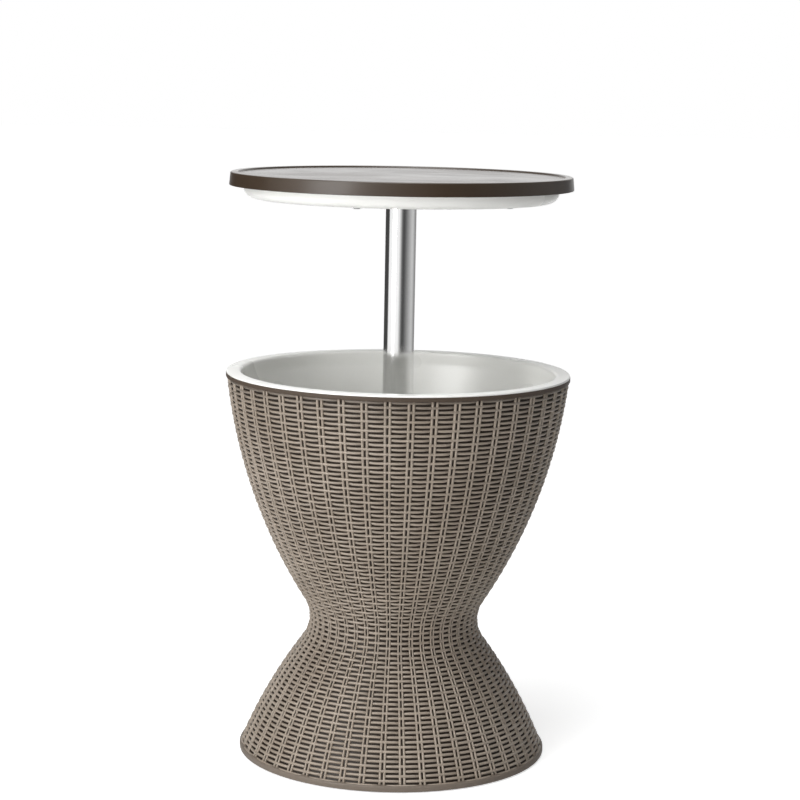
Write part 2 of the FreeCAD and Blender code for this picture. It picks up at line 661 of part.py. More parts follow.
def make_tub():
    """Cooler tub with its rim, snap skirt, drain sump and the chimney round the column."""
    floor_under = TUB_FLOOR_Z - TUB_WALL
    mouth_bottom = RIM_TOP - MOUTH_DEPTH
    inner = CHIMNEY_INNER_RADIUS
    skirt_bottom = BODY_TOP - SNAP_SKIRT_DEPTH
    skirt_inner = SNAP_SKIRT_RADIUS - SNAP_SKIRT_WALL
    tub = turned_section(
        (inner, floor_under),
        (TUB_FLOOR_RADIUS + TUB_WALL, floor_under, TUB_FLOOR_ROUND + TUB_WALL),
        (MOUTH_RADIUS + TUB_WALL, mouth_bottom, SHOULDER_ROUND),
        (MOUTH_RADIUS + TUB_WALL, BODY_TOP),
        (skirt_inner, BODY_TOP),
        (skirt_inner, skirt_bottom),
        (SNAP_SKIRT_RADIUS, skirt_bottom, SNAP_SKIRT_EDGE),
        (SNAP_SKIRT_RADIUS, SNAP_Z - 0.5 * SNAP_HEIGHT),
        (SNAP_SKIRT_RADIUS + SNAP_BEAD, SNAP_Z),
        (SNAP_SKIRT_RADIUS, SNAP_Z + 0.5 * SNAP_HEIGHT),
        (SNAP_SKIRT_RADIUS, BODY_TOP),
        (RIM_RADIUS - RIM_OVERHANG, BODY_TOP),
        (RIM_RADIUS - RIM_OVERHANG, RIM_TOP, RIM_EDGE),
        (MOUTH_RADIUS, RIM_TOP, MOUTH_ROUND),
        (MOUTH_RADIUS, mouth_bottom, SHOULDER_ROUND),
        (TUB_FLOOR_RADIUS, TUB_FLOOR_Z, TUB_FLOOR_ROUND),
        (inner + CHIMNEY_WALL + CHIMNEY_DRAFT, TUB_FLOOR_Z, CHIMNEY_EDGE),
        (inner + CHIMNEY_WALL, COLUMN_TOP),
        (inner, COLUMN_TOP),
    )
    centre = polar(DRAIN_CIRCLE, DRAIN_ANGLE)
    tub = tub.fuse(disc(SUMP_BOSS, floor_under - SUMP_BOSS_DEPTH, floor_under + SUNK, centre))
    tub = tub.cut(disc(SUMP_RADIUS, TUB_FLOOR_Z - SUMP_DEPTH, TUB_FLOOR_Z + OVERRUN, centre))
    return tub.cut(disc(SEAT_NECK + HOLE_GAP, 0.0, TUB_FLOOR_Z, centre))


# Column pieces


def make_column_tube():
    """Fixed outer tube of the telescope."""
    return ring(COLUMN_RADIUS - COLUMN_WALL, COLUMN_RADIUS, COLUMN_BOTTOM, COLUMN_TOP)


def lock_pocket(lug_bottom, start):
    """Space that a lug turns through, from its channel to the locked end."""
    half_lug = math.degrees(math.asin(0.5 * LUG_WIDTH / GUIDE_BORE))
    low = lug_bottom - LUG_FLOOR_GAP
    high = lug_bottom + LUG_HEIGHT + LUG_ROOF_GAP
    corners = ((POLE_RADIUS, low), (CHANNEL_RADIUS, low), (CHANNEL_RADIUS, high), (POLE_RADIUS, high))
    pocket = Part.Face(rounded_wire(corners)).revolve(ORIGIN, UP, LOCK_ANGLE + half_lug + POCKET_END_SPARE)
    return turned(pocket, start)


def make_guide_liner():
    """Liner with two upright channels and a pair of lock pockets at each end of the travel."""
    liner = ring(GUIDE_BORE, LINER_RADIUS, COLUMN_BOTTOM, COLUMN_TOP - COLLAR_SPIGOT)
    channel_top = POLE_BOTTOM + BUSH_LIFT + BUSH_HEIGHT + CHANNEL_SPARE
    low = COLUMN_BOTTOM - OVERRUN
    tools = []
    for start in (0.0, 180.0):
        channel = Part.makeBox(CHANNEL_RADIUS, CHANNEL_WIDTH, channel_top - low)
        channel.translate(V(0, -0.5 * CHANNEL_WIDTH, low))
        tools.append(turned(channel.common(disc(CHANNEL_RADIUS, low, channel_top)), start))
        tools.append(lock_pocket(LUG_BOTTOM, start))
        tools.append(lock_pocket(LUG_BOTTOM - LIFT, start))
    return liner.cut(Part.makeCompound(tools))


def make_column_collar():
    """Bearing collar that caps the column and the chimney."""
    collar = turned_section(
        (BEARING_RADIUS, COLUMN_TOP - COLLAR_SPIGOT),
        (LINER_RADIUS, COLUMN_TOP - COLLAR_SPIGOT),
        (LINER_RADIUS, COLUMN_TOP),
        (COLLAR_LIP_RADIUS, COLUMN_TOP),
        (COLLAR_LIP_RADIUS, COLUMN_TOP - COLLAR_LIP),
        (COLLAR_RADIUS, COLUMN_TOP - COLLAR_LIP, COLLAR_EDGE),
        (COLLAR_RADIUS, COLUMN_TOP + COLLAR_HEIGHT, COLLAR_ROUND),
        (BEARING_RADIUS, COLUMN_TOP + COLLAR_HEIGHT, COLLAR_EDGE),
    )
    groove = ring(BEARING_RADIUS - OVERRUN, BEARING_RADIUS + WIPER_DEPTH, WIPER_Z, WIPER_Z + WIPER_HEIGHT)
    return collar.cut(groove)


def make_wiper_seal():
    """Wiper ring in the collar's groove."""
    return turned_section(
        (BEARING_RADIUS, WIPER_Z, WIPER_EDGE),
        (BEARING_RADIUS + WIPER_DEPTH, WIPER_Z),
        (BEARING_RADIUS + WIPER_DEPTH, WIPER_Z + WIPER_HEIGHT),
        (BEARING_RADIUS, WIPER_Z + WIPER_HEIGHT, WIPER_EDGE),
    )


def make_column_foot():
    """Flanged cup that hangs the column from the two bulkheads."""
    inner = COLUMN_RADIUS + FIT_GAP
    outer = inner + FOOT_WALL
    top = WAIST_Z - BULKHEAD
    flange_low = top - FOOT_FLANGE
    foot = turned_section(
        (FOOT_DRAIN, COLUMN_BOTTOM - FOOT_FLOOR),
        (outer, COLUMN_BOTTOM - FOOT_FLOOR, FOOT_EDGE),
        (outer, flange_low, FOOT_EDGE),
        (FOOT_FLANGE_RADIUS, flange_low),
        (FOOT_FLANGE_RADIUS, top),
        (inner, top),
        (inner, COLUMN_BOTTOM),
        (FOOT_DRAIN, COLUMN_BOTTOM),
    )
    gusset_low = flange_low - FOOT_GUSSET_DEPTH
    gusset_reach = FOOT_FLANGE_RADIUS - FOOT_EDGE
    outline = (
        (outer - SUNK, flange_low + SUNK),
        (outer - SUNK, gusset_low),
        (outer, gusset_low),
        (gusset_reach, flange_low - FOOT_EDGE),
        (gusset_reach, flange_low + SUNK),
    )
    foot = foot.multiFuse([radial_plate(outline, FOOT_GUSSET_WALL, angle) for angle in angles(BOLT_COUNT)])
    hole = SCREW_M5[2] + HOLE_GAP
    places = angles(BOLT_COUNT, BOLT_ANGLE)
    return drilled(foot, hole, FOOT_BOLT_CIRCLE, places, flange_low - OVERRUN, top + OVERRUN)


def hexagon(flats, low, high, bore, centre=ORIGIN):
    """Hexagon nut round a bore."""
    corner = flats / math.sqrt(3.0)
    points = [centre + polar(corner, angle, low) for angle in angles(6)]
    prism = Part.Face(Part.makePolygon(points + points[:1])).extrude(V(0, 0, high - low))
    return prism.cut(disc(bore, low - OVERRUN, high + OVERRUN, centre))


def make_column_bolts():
    """Bolts up through the foot's flange and both bulkheads."""
    seat = WAIST_Z - BULKHEAD - FOOT_FLANGE
    length = FOOT_FLANGE + 2.0 * BULKHEAD + COLUMN_NUT_HEIGHT + BOLT_END
    return screws_on_circle(SCREW_M5, FOOT_BOLT_CIRCLE, angles(BOLT_COUNT, BOLT_ANGLE), seat, length, False)


def make_column_nuts():
    """Nuts on the upper bulkhead."""
    low = WAIST_Z + BULKHEAD
    high = low + COLUMN_NUT_HEIGHT
    bore = SCREW_M5[2] + NUT_GAP
    places = [polar(FOOT_BOLT_CIRCLE, angle) for angle in angles(BOLT_COUNT, BOLT_ANGLE)]
    return Part.makeCompound([hexagon(COLUMN_NUT_FLATS, low, high, bore, place) for place in places])


# Drain pieces


def drain_centre():
    """Point of the drain on the tub floor's circle."""
    return polar(DRAIN_CIRCLE, DRAIN_ANGLE)


def at_drain(shape):
    """Shape drawn round the origin, moved to the drain."""
    shape.translate(drain_centre())
    return shape


def make_drain_gasket():
    """Flat gasket between the drain seat and the sump."""
    low = TUB_FLOOR_Z - SUMP_DEPTH
    return at_drain(ring(SEAT_NECK + HOLE_GAP, SEAT_FLANGE + GASKET_EDGE, low, low + GASKET))


def make_drain_seat():
    """Flanged drain fitting with a tail for the pipe."""
    low = TUB_FLOOR_Z - SUMP_DEPTH + GASKET
    return at_drain(turned_section(
        (SEAT_BORE, SEAT_TAIL_BOTTOM),
        (SEAT_TAIL, SEAT_TAIL_BOTTOM, SEAT_EDGE),
        (SEAT_TAIL, SEAT_NECK_BOTTOM),
        (SEAT_NECK, SEAT_NECK_BOTTOM),
        (SEAT_NECK, low),
        (SEAT_FLANGE, low),
        (SEAT_FLANGE, low + SEAT_FLANGE_THICKNESS, SEAT_EDGE),
        (SEAT_BORE, low + SEAT_FLANGE_THICKNESS),
    ))


def make_drain_nut():
    """Nut that clamps the drain seat to the tub floor."""
    high = TUB_FLOOR_Z - TUB_WALL - SUMP_BOSS_DEPTH
    return at_drain(hexagon(NUT_FLATS, high - NUT_HEIGHT, high, SEAT_NECK + NUT_GAP))


def make_drain_pipe():
    """Pipe from the drain seat down through the waist and the base plate."""
    inner = SEAT_TAIL + HOLE_GAP
    return at_drain(ring(inner, inner + PIPE_WALL, PAD_THICKNESS, SEAT_NECK_BOTTOM))


def make_drain_plug():
    """Drain plug with a finger grip."""
    seat_top = TUB_FLOOR_Z - SUMP_DEPTH + GASKET + SEAT_FLANGE_THICKNESS
    head_top = seat_top + PLUG_HEAD_THICKNESS
    stem_bottom = SEAL_BOTTOM - PLUG_STEM_END
    groove = PLUG_STEM - SEAL_GROOVE
    head = SEAT_BORE + PLUG_HEAD_MARGIN
    body = turned_section(
        (0.0, stem_bottom),
        (PLUG_STEM, stem_bottom, PLUG_EDGE),
        (PLUG_STEM, SEAL_BOTTOM),
        (groove, SEAL_BOTTOM),
        (groove, SEAL_BOTTOM + SEAL_HEIGHT),
        (PLUG_STEM, SEAL_BOTTOM + SEAL_HEIGHT),
        (PLUG_STEM, seat_top),
        (head, seat_top),
        (head, head_top, PLUG_EDGE),
        (0.0, head_top),
    )
    grip = Part.makeBox(PLUG_GRIP_LENGTH, PLUG_GRIP_THICKNESS, PLUG_GRIP_HEIGHT + SUNK)
    grip.translate(V(-0.5 * PLUG_GRIP_LENGTH, -0.5 * PLUG_GRIP_THICKNESS, head_top - SUNK))
    across = [e for e in grip.Edges if abs(e.tangentAt(e.FirstParameter).y) > 0.9]
    corners = [e for e in across if e.CenterOfMass.z > head_top]
    return at_drain(body.fuse(grip.makeFillet(PLUG_GRIP_ROUND, corners)))


def make_drain_seal():
    """Sealing ring in the plug's groove."""
    low = SEAL_BOTTOM + SEAL_END_GAP
    high = SEAL_BOTTOM + SEAL_HEIGHT - SEAL_END_GAP
    inner = PLUG_STEM - SEAL_GROOVE + PIN_GAP
    outer = SEAT_BORE - SEAL_GAP
    seal = turned_section((inner, low), (outer, low, SEAL_EDGE), (outer, high, SEAL_EDGE), (inner, high))
    return at_drain(seal)


# Pole pieces


def cross_bar(radius, height, reach):
    """Round bar lying across the pole, from front to back."""
    return Part.makeCylinder(radius, 2.0 * reach, V(0, -reach, height), ACROSS)


def pin_hole(height):
    """Hole for a pin through the pole and its sleeve."""
    return cross_bar(PIN_RADIUS + PIN_GAP, height, POLE_RADIUS + SLEEVE_GAP + POLE_SLEEVE + OVERRUN)


def cross_pin(height, reach):
    """Pin across the pole, its ends cut flush with a round sleeve."""
    pin = cross_bar(PIN_RADIUS, height, reach)
    return pin.common(disc(reach, height - 2.0 * PIN_RADIUS, height + 2.0 * PIN_RADIUS))


def side_lugs(inner, width, low, high):
    """Two lugs that stand out to the left and right of a round body."""
    bar = Part.makeBox(2.0 * LUG_RADIUS, width, high - low)
    bar.translate(V(-LUG_RADIUS, -0.5 * width, low))
    return bar.common(ring(inner, LUG_RADIUS, low, high))


def make_pole_tube():
    """Sliding pole, drilled for the pins at its two ends."""
    tube = ring(POLE_RADIUS - POLE_WALL, POLE_RADIUS, POLE_BOTTOM, POLE_TOP)
    return tube.cut(pin_hole(PLUG_PIN_Z)).cut(pin_hole(POLE_PIN_Z))


def make_pole_end_plug():
    """Plug in the pole's foot with the two lock lugs."""
    spigot = POLE_RADIUS - POLE_WALL - SLEEVE_GAP
    plug = turned_section(
        (PLUG_BORE, LUG_BOTTOM - PLUG_TAIL),
        (POLE_RADIUS, LUG_BOTTOM - PLUG_TAIL, PLUG_EDGE),
        (POLE_RADIUS, POLE_BOTTOM),
        (spigot, POLE_BOTTOM),
        (spigot, POLE_BOTTOM + PLUG_SPIGOT, PLUG_EDGE),
        (PLUG_BORE, POLE_BOTTOM + PLUG_SPIGOT),
    )
    lugs = side_lugs(spigot, LUG_WIDTH, LUG_BOTTOM, POLE_BOTTOM)
    return plug.fuse(lugs).cut(pin_hole(PLUG_PIN_Z))


def make_plug_pin():
    """Pin that holds the end plug in the pole."""
    return cross_pin(PLUG_PIN_Z, POLE_RADIUS)


def make_pole_pin():
    """Pin that holds the pole in its flange."""
    return cross_pin(POLE_PIN_Z, POLE_RADIUS + SLEEVE_GAP + POLE_SLEEVE)


def make_glide_bush():
    """Keyed bush that slides up and down without turning."""
    low = POLE_BOTTOM + BUSH_LIFT
    high = low + BUSH_HEIGHT
    bush = ring(BEARING_RADIUS, BUSH_RADIUS, low, high)
    return bush.fuse(side_lugs(0.5 * (BEARING_RADIUS + BUSH_RADIUS), KEY_WIDTH, low, high))


def make_glide_stop():
    """Ring that keeps the bush on the pole."""
    low = POLE_BOTTOM + BUSH_LIFT + BUSH_HEIGHT + BUSH_LIFT
    bore = POLE_RADIUS + PIN_GAP
    return turned_section(
        (bore, low),
        (STOP_RING_RADIUS, low),
        (STOP_RING_RADIUS, low + STOP_RING_HEIGHT, STOP_RING_EDGE),
        (bore, low + STOP_RING_HEIGHT),
    )


def make_pole_flange():
    """Flanged sleeve that carries the table on the pole."""
    low = PAN_BOTTOM + PAN_WALL + PAN_PAD
    high = low + POLE_FLANGE
    sleeve = SLEEVE_BORE + POLE_SLEEVE
    flange = turned_section(
        (SLEEVE_BORE, low),
        (POLE_FLANGE_RADIUS, low),
        (POLE_FLANGE_RADIUS, high, FLANGE_EDGE),
        (sleeve, high, FLANGE_ROOT),
        (sleeve, POLE_TOP),
        (SLEEVE_BORE, POLE_TOP),
    )
    gusset_reach = POLE_FLANGE_RADIUS - FLANGE_GUSSET_EDGE
    gusset_top = POLE_TOP - FLANGE_GUSSET_DROP
    outline = (
        (sleeve - SUNK, high - SUNK),
        (gusset_reach, high - SUNK),
        (gusset_reach, high + FLANGE_EDGE),
        (sleeve, gusset_top),
        (sleeve - SUNK, gusset_top),
    )
    gussets = [radial_plate(outline, FLANGE_GUSSET_WALL, angle) for angle in angles(BOLT_COUNT)]
    flange = flange.multiFuse(gussets).cut(pin_hole(POLE_PIN_Z))
    hole = SCREW_M5[2] + HOLE_GAP
    places = angles(BOLT_COUNT, BOLT_ANGLE)
    return drilled(flange, hole, FLANGE_SCREW_CIRCLE, places, low - OVERRUN, high + OVERRUN)


def make_flange_screws():
    """Screws from the pole's flange into the pan's pad."""
    seat = PAN_BOTTOM + PAN_WALL + PAN_PAD + POLE_FLANGE
    places = angles(BOLT_COUNT, BOLT_ANGLE)
    return screws_on_circle(SCREW_M5, FLANGE_SCREW_CIRCLE, places, seat, FLANGE_SCREW_LENGTH, True)


# Table pieces


def make_lid_pan():
    """White pan that closes the tub when the table is down."""
    floor = PAN_BOTTOM + PAN_WALL
    pad_top = floor + PAN_PAD
    bore = POLE_RADIUS + PAN_BORE_GAP
    pan = turned_section(
        (bore, PAN_BOTTOM),
        (PAN_CORNER_RADIUS, PAN_BOTTOM, PAN_ROUND),
        (PAN_TOP_RADIUS, DECK_UNDERSIDE - PAN_WALL, PAN_ROOT),
        (PAN_FLANGE_RADIUS, DECK_UNDERSIDE - PAN_WALL),
        (PAN_FLANGE_RADIUS, DECK_UNDERSIDE),
        (PAN_TOP_RADIUS - PAN_WALL, DECK_UNDERSIDE),
        (PAN_CORNER_RADIUS - PAN_WALL, floor, PAN_ROUND - PAN_WALL),
        (PAN_PAD_RADIUS, floor, PAN_ROOT),
        (PAN_PAD_RADIUS, pad_top),
        (bore, pad_top),
    )
    rib_end = PAN_CORNER_RADIUS - PAN_ROUND
    outline = (
        (PAN_PAD_RADIUS - SUNK, floor - SUNK),
        (rib_end, floor - SUNK),
        (rib_end, floor + PAN_RIB_HEIGHT),
        (PAN_PAD_RADIUS - SUNK, floor + PAN_RIB_HEIGHT),
    )
    rib_places = angles(DECK_RIB_COUNT, PAN_SCREW_ANGLE + 180.0 / DECK_RIB_COUNT)
    pan = pan.multiFuse([radial_plate(outline, DECK_RIB_WALL, angle) for angle in rib_places])
    hole = PAN_SCREW[2] + HOLE_GAP
    places = angles(PAN_SCREW_COUNT, PAN_SCREW_ANGLE)
    pan = drilled(pan, hole, PAN_SCREW_CIRCLE, places, PAN_BOTTOM - OVERRUN, floor + OVERRUN)
    hole = SCREW_M5[2] + HOLE_GAP
    low = pad_top + POLE_FLANGE - FLANGE_SCREW_LENGTH - FLANGE_SCREW_TIP
    places = angles(BOLT_COUNT, BOLT_ANGLE)
    return drilled(pan, hole, FLANGE_SCREW_CIRCLE, places, low, pad_top + OVERRUN)


def make_pan_screws():
    """Screws from under the pan into the table top's posts."""
    places = angles(PAN_SCREW_COUNT, PAN_SCREW_ANGLE)
    return screws_on_circle(PAN_SCREW, PAN_SCREW_CIRCLE, places, PAN_BOTTOM, PAN_SCREW_LENGTH, False)


def make_table_top():
    """Round table top with a raised lip, a skirt and ribs under the deck."""
    skirt_inner = SKIRT_RADIUS - SKIRT_WALL
    top = turned_section(
        (0.0, DECK_UNDERSIDE),
        (skirt_inner - SKIRT_DRAFT, DECK_UNDERSIDE, SKIRT_ROOT),
        (skirt_inner, SKIRT_BOTTOM, SKIRT_EDGE),
        (SKIRT_RADIUS, SKIRT_BOTTOM, SKIRT_EDGE),
        (LIP_OUTER_RADIUS, TABLE_TOP, LIP_ROUND),
        (DECK_RADIUS + LIP_EDGE, TABLE_TOP, LIP_EDGE),
        (DECK_RADIUS, DECK_TOP),
        (0.0, DECK_TOP),
    )
    rib_bottom = DECK_UNDERSIDE - DECK_RIB_DEPTH
    rib_top = DECK_UNDERSIDE + SUNK
    outline = (
        (DECK_RIB_INNER_RADIUS, rib_bottom),
        (DECK_RIB_OUTER_RADIUS, rib_bottom, DECK_RIB_WALL),
        (DECK_RIB_OUTER_RADIUS, rib_top),
        (DECK_RIB_INNER_RADIUS, rib_top),
    )
    rib_places = angles(DECK_RIB_COUNT, PAN_SCREW_ANGLE)
    pieces = [radial_plate(outline, DECK_RIB_WALL, angle) for angle in rib_places]
    for radius in (DECK_RIB_INNER_RADIUS, 0.5 * (DECK_RIB_INNER_RADIUS + DECK_RIB_OUTER_RADIUS)):
        pieces.append(ring(radius, radius + DECK_RIB_WALL, rib_bottom, rib_top))
    socket = SLEEVE_BORE + POLE_SLEEVE + SOCKET_GAP
    pieces.append(ring(socket, socket + DECK_RIB_WALL, POLE_TOP - SOCKET_DEPTH, rib_top))
    places = angles(PAN_SCREW_COUNT, PAN_SCREW_ANGLE)
    for angle in places:
        pieces.append(disc(PAN_SCREW_BOSS, PAN_BOTTOM + PAN_WALL, rib_top, polar(PAN_SCREW_CIRCLE, angle)))
    top = top.multiFuse(pieces)
    hole_top = PAN_BOTTOM + PAN_SCREW_LENGTH + SCREW_END_GAP
    return drilled(top, PAN_SCREW[2] + HOLE_GAP, PAN_SCREW_CIRCLE, places, PAN_BOTTOM, hole_top)


def screw_set_waist():
    """Screws that hold the cradle and the two shells together at the waist."""
    places = angles(WEB_COUNT, WAIST_SCREW_ANGLE)
    seat = WAIST_Z + BULKHEAD + CRADLE_FLANGE
    length = CRADLE_FLANGE + 2.0 * BULKHEAD + WAIST_BOSS_DEPTH - BOSS_FLOOR - SCREW_END_GAP
    return screws_on_circle(SCREW_M5, WAIST_SCREW_CIRCLE, places, seat, length, True)


def screw_set_base():
    """Screws that hold the base plate to the ledge inside the foot."""
    places = angles(WEB_COUNT, WAIST_SCREW_ANGLE)
    return screws_on_circle(SCREW_M4, PLATE_SCREW_CIRCLE, places, PAD_THICKNESS, PLATE_SCREW_LENGTH, False)


NODES = {
    "shell_upper": make_shell_upper,
    "shell_lower": make_shell_lower,
    "stakes_upper": make_stakes_upper,
    "stakes_lower": make_stakes_lower,
    "tub_cradle": make_tub_cradle,
    "waist_screws": screw_set_waist,
    "base_plate": make_base_plate,
    "base_screws": screw_set_base,
    "foot_pads": make_foot_pads,
    "tub": make_tub,
    "column_tube": make_column_tube,
    "guide_liner": make_guide_liner,
    "column_collar": make_column_collar,
    "wiper_seal": make_wiper_seal,
    "column_foot": make_column_foot,
    "column_bolts": make_column_bolts,
    "column_nuts": make_column_nuts,
    "drain_gasket": make_drain_gasket,
    "drain_seat": make_drain_seat,
    "drain_nut": make_drain_nut,
    "drain_pipe": make_drain_pipe,
    "drain_plug": make_drain_plug,
    "drain_seal": make_drain_seal,
    "glide_bush": make_glide_bush,
    "pole_tube": make_pole_tube,
    "pole_end_plug": make_pole_end_plug,
    "plug_pin": make_plug_pin,
    "glide_stop": make_glide_stop,
    "pole_flange": make_pole_flange,
    "pole_pin": make_pole_pin,
    "flange_screws": make_flange_screws,
    "lid_pan": make_lid_pan,
    "pan_screws": make_pan_screws,
    "table_top": make_table_top,
}

os.makedirs("parts", exist_ok=True)
for name, make in NODES.items():
    make().exportStep("parts/" + name + ".step")
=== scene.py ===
import json
import math

import bpy
import numpy as np
from bpy.props import FloatProperty, FloatVectorProperty, IntProperty, PointerProperty
from mathutils import Matrix, Vector


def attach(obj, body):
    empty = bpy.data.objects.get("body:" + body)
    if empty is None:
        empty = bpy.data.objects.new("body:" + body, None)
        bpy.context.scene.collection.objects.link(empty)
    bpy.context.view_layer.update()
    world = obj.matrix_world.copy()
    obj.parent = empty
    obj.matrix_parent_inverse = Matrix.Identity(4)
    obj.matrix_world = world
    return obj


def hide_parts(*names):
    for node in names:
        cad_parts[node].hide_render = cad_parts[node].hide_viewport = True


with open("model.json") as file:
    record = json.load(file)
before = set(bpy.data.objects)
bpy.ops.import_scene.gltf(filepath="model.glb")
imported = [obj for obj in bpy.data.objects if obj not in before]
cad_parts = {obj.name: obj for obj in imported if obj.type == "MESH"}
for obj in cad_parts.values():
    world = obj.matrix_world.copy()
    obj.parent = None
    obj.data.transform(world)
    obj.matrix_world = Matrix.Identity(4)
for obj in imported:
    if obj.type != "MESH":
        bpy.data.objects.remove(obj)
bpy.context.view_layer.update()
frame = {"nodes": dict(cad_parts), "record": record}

bl_info = {
    "name": "Cooler table",
    "version": (1, 0, 0),
    "blender": (4, 5, 0),
    "location": "3D View > Sidebar > Cooler table",
    "description": "Builds the woven body, the tub, the pole and the table top of a cooler table",
    "category": "Object",
}

# Sizes in metres, +Z up, front towards -Y, the pole on the Z axis.

# Side of the body: two long bell curves joined by a tight curve at the waist
BODY_TOP = 0.556
RIM_RADIUS = 0.2475
BASE_RADIUS = 0.223
UPPER_BELL_RADIUS = 0.765
UPPER_BELL_CENTRE = 0.6357
UPPER_BELL_REACH = 0.247
LOWER_BELL_RADIUS = 0.7227
LOWER_BELL_CENTRE = -0.2654
LOWER_BELL_REACH = 0.2249
WAIST_CURVE = 0.0539
FLOOR_GAP = 0.0015
TOP_BAND = 0.006
BASE_BAND = 0.009
BAND_OVERLAP = 0.0005  # how far the bands' colour reaches past their edges
BACKING_INSET = 0.0032
INNER_INSET = 0.0054
BULKHEAD = 0.004
COLUMN_HOLE = 0.034
LEDGE_RADIUS = 0.188
LEDGE_BOTTOM = 0.006
LEDGE_TOP = 0.009

# Strands
STAKE_OFFSET = math.radians(0.76)  # from the middle of a pair to the middle of each of its stakes, at the rim
STAKE_GROWTH = 0.33  # power by which a stake's turn grows as the body narrows
STAKE_INSET = 0.0013
DIVE_POWER = 6  # how late and steeply a weaver strand dives
MEAN_RADIUS = 0.2  # for the length along a weaver strand
STAKE_TONES = 0.04  # spread of tone from strand to strand
ROW_TONES = 0.05
# Painted shade: the band's shade is painted into the top rows' tone
SHADED_ROWS = 2.2  # how fast the band's shade fades, in rows
STAKE_SEED = 5
ROW_SEED = 11

# Tub and collar
TUB_WALL = 0.003
RIM_TOP = 0.5585
RIM_SETBACK = 0.0005
MOUTH_RADIUS = 0.2258
MOUTH_BOTTOM = 0.538
TUB_FLOOR = 0.300
TUB_FLOOR_RADIUS = 0.157
SNAP_SKIRT_RADIUS = 0.240
SNAP_SKIRT_BOTTOM = 0.545
SNAP_SKIRT_WALL = 0.002
CHIMNEY_BORE = 0.0324
CHIMNEY_TOP = 0.470
CHIMNEY_TAPER = 0.002
DRAIN_CENTRE = (-0.072746, -0.042)
SUMP_RADIUS = 0.022
SUMP_DEPTH = 0.002
SUMP_SLOPE = 0.002
COLLAR_RADIUS = 0.038
COLLAR_TOP = 0.484
COLLAR_BORE = 0.02248
COLLAR_SPIGOT = 0.004
COLLAR_SKIRT = 0.008
COLLAR_GAP = 0.0004
LINER_RADIUS = 0.0304

# Pole, pan and table top
POLE_RADIUS = 0.0224
POLE_WALL = 0.0015
POLE_BOTTOM = 0.406
POLE_TOP = 0.833
PAN_BOTTOM = 0.804
PAN_WALL = 0.003
PAN_CORNER_RADIUS = 0.2236
PAN_TOP_RADIUS = 0.2254
PAN_FLANGE_RADIUS = 0.238
PAN_PAD_RADIUS = 0.062
PAN_PAD_TOP = 0.812
PAN_POLE_GAP = 0.0003
PAN_DECK_GAP = 0.00005
DECK_TOP = 0.839
DECK_UNDERSIDE = 0.836
TABLE_TOP = 0.8412
DECK_RADIUS = 0.2315
LIP_OUTER_RADIUS = 0.2432
SKIRT_BOTTOM = 0.8225
SKIRT_RADIUS = 0.2451
SKIRT_WALL = 0.003
SKIRT_TAPER = 0.0019
LIP_SLOPE = 0.0012
AXIS_GAP = 0.0005  # radius at which the deck's middle is closed

# Roundings of edges and bends
CRISP_EDGE = 0.0005
PLAIN_EDGE = 0.0008
SMOOTH_EDGE = 0.0015
FOOT_EDGE = 0.002
FOOT_SHOULDER = 0.003
MOUTH_EDGE = 0.0045
MOUTH_BEND = 0.030
TUB_BEND = 0.028
CHIMNEY_EDGE = 0.0006
CHIMNEY_FOOT = 0.0025
COLLAR_EDGE = 0.001
COLLAR_SHOULDER = 0.006
POLE_EDGE = 0.0003
DECK_CORNER = 0.002

# Fineness of the meshes: steps round the pole, rings along a strand, and the longest run between two rings
ROUND_STEPS = 360
TUB_STEPS = 240
POLE_STEPS = 192
COLLAR_STEPS = 120
SIDE_RINGS = 60
INNER_RINGS = 50
STAKE_RINGS = 100
STEPS_PER_PAIR = 12
TUB_SPAN = 0.0036
LONG_SPAN = 0.02
SHARP_ANGLE = math.radians(40.0)


# Settings


def colour_property(name, description, default):
    return FloatVectorProperty(
        name=name, description=description, default=default, size=3, subtype="COLOR", min=0.0, max=1.0)


def length_property(name, description, default):
    return FloatProperty(
        name=name, description=description, default=default, min=0.0, unit="LENGTH", subtype="DISTANCE",
        precision=5)


def angle_property(name, description, degrees):
    return FloatProperty(
        name=name, description=description, default=math.radians(degrees), subtype="ANGLE", unit="ROTATION")


def light_property(name, description, default, unit="NONE"):
    return FloatProperty(name=name, description=description, default=default, min=0.0, unit=unit)


class WeaveSettings(bpy.types.PropertyGroup):
    """Sizes and colours of the woven side."""

    pairs: IntProperty(
        name="Stake pairs", description="Number of upright strand pairs round the body",
        default=48, min=8, max=96)
    upper_pitch: length_property("Upper pitch", "Height of one row of weave above the waist", 0.006643)
    lower_pitch: length_property("Lower pitch", "Height of one row of weave below the waist", 0.006727)
    tuck: length_property("Tuck", "How far the top row reaches behind the band", 0.00105)
    strand_height: length_property("Strand height", "Height of one weaver strand", 0.0042)
    strand_thickness: length_property("Strand thickness", "Thickness of one weaver strand", 0.0023)
    dip: length_property("Dip", "How far a strand dives into the backing behind a pair", 0.0001)
    stake_width: length_property("Stake width", "Width of one upright strand at the rim", 0.0042)
    first_pair: angle_property("First pair", "Turn of the first stake pair from the front", 4.4)
    light_colour: colour_property("Light strand", "Lighter colour of the strands", (0.350, 0.296, 0.242))
    dark_colour: colour_property("Dark strand", "Darker colour of the strands", (0.254, 0.206, 0.160))
    # Painted shade: the gap colour is near black, standing for the deep shade between the strands
    gap_shade_colour: colour_property("Gap", "Colour behind the strands", (0.026, 0.018, 0.013))
    # Painted shade of the band, darkening the top rows' tone
    top_shade: FloatProperty(
        name="Top shade", description="How much darker the top row is in the shade of the band",
        default=0.45, min=0.0, max=1.0)
    # Painted shade: the rim band is a darker copy of the foot band's resin, for the shade under the tub's rim
    rim_band_shade_colour: colour_property("Rim band", "Colour of the plain band under the rim", (0.068, 0.050, 0.037))
    foot_colour: colour_property("Foot band", "Colour of the plain band at the floor", (0.168, 0.139, 0.113))


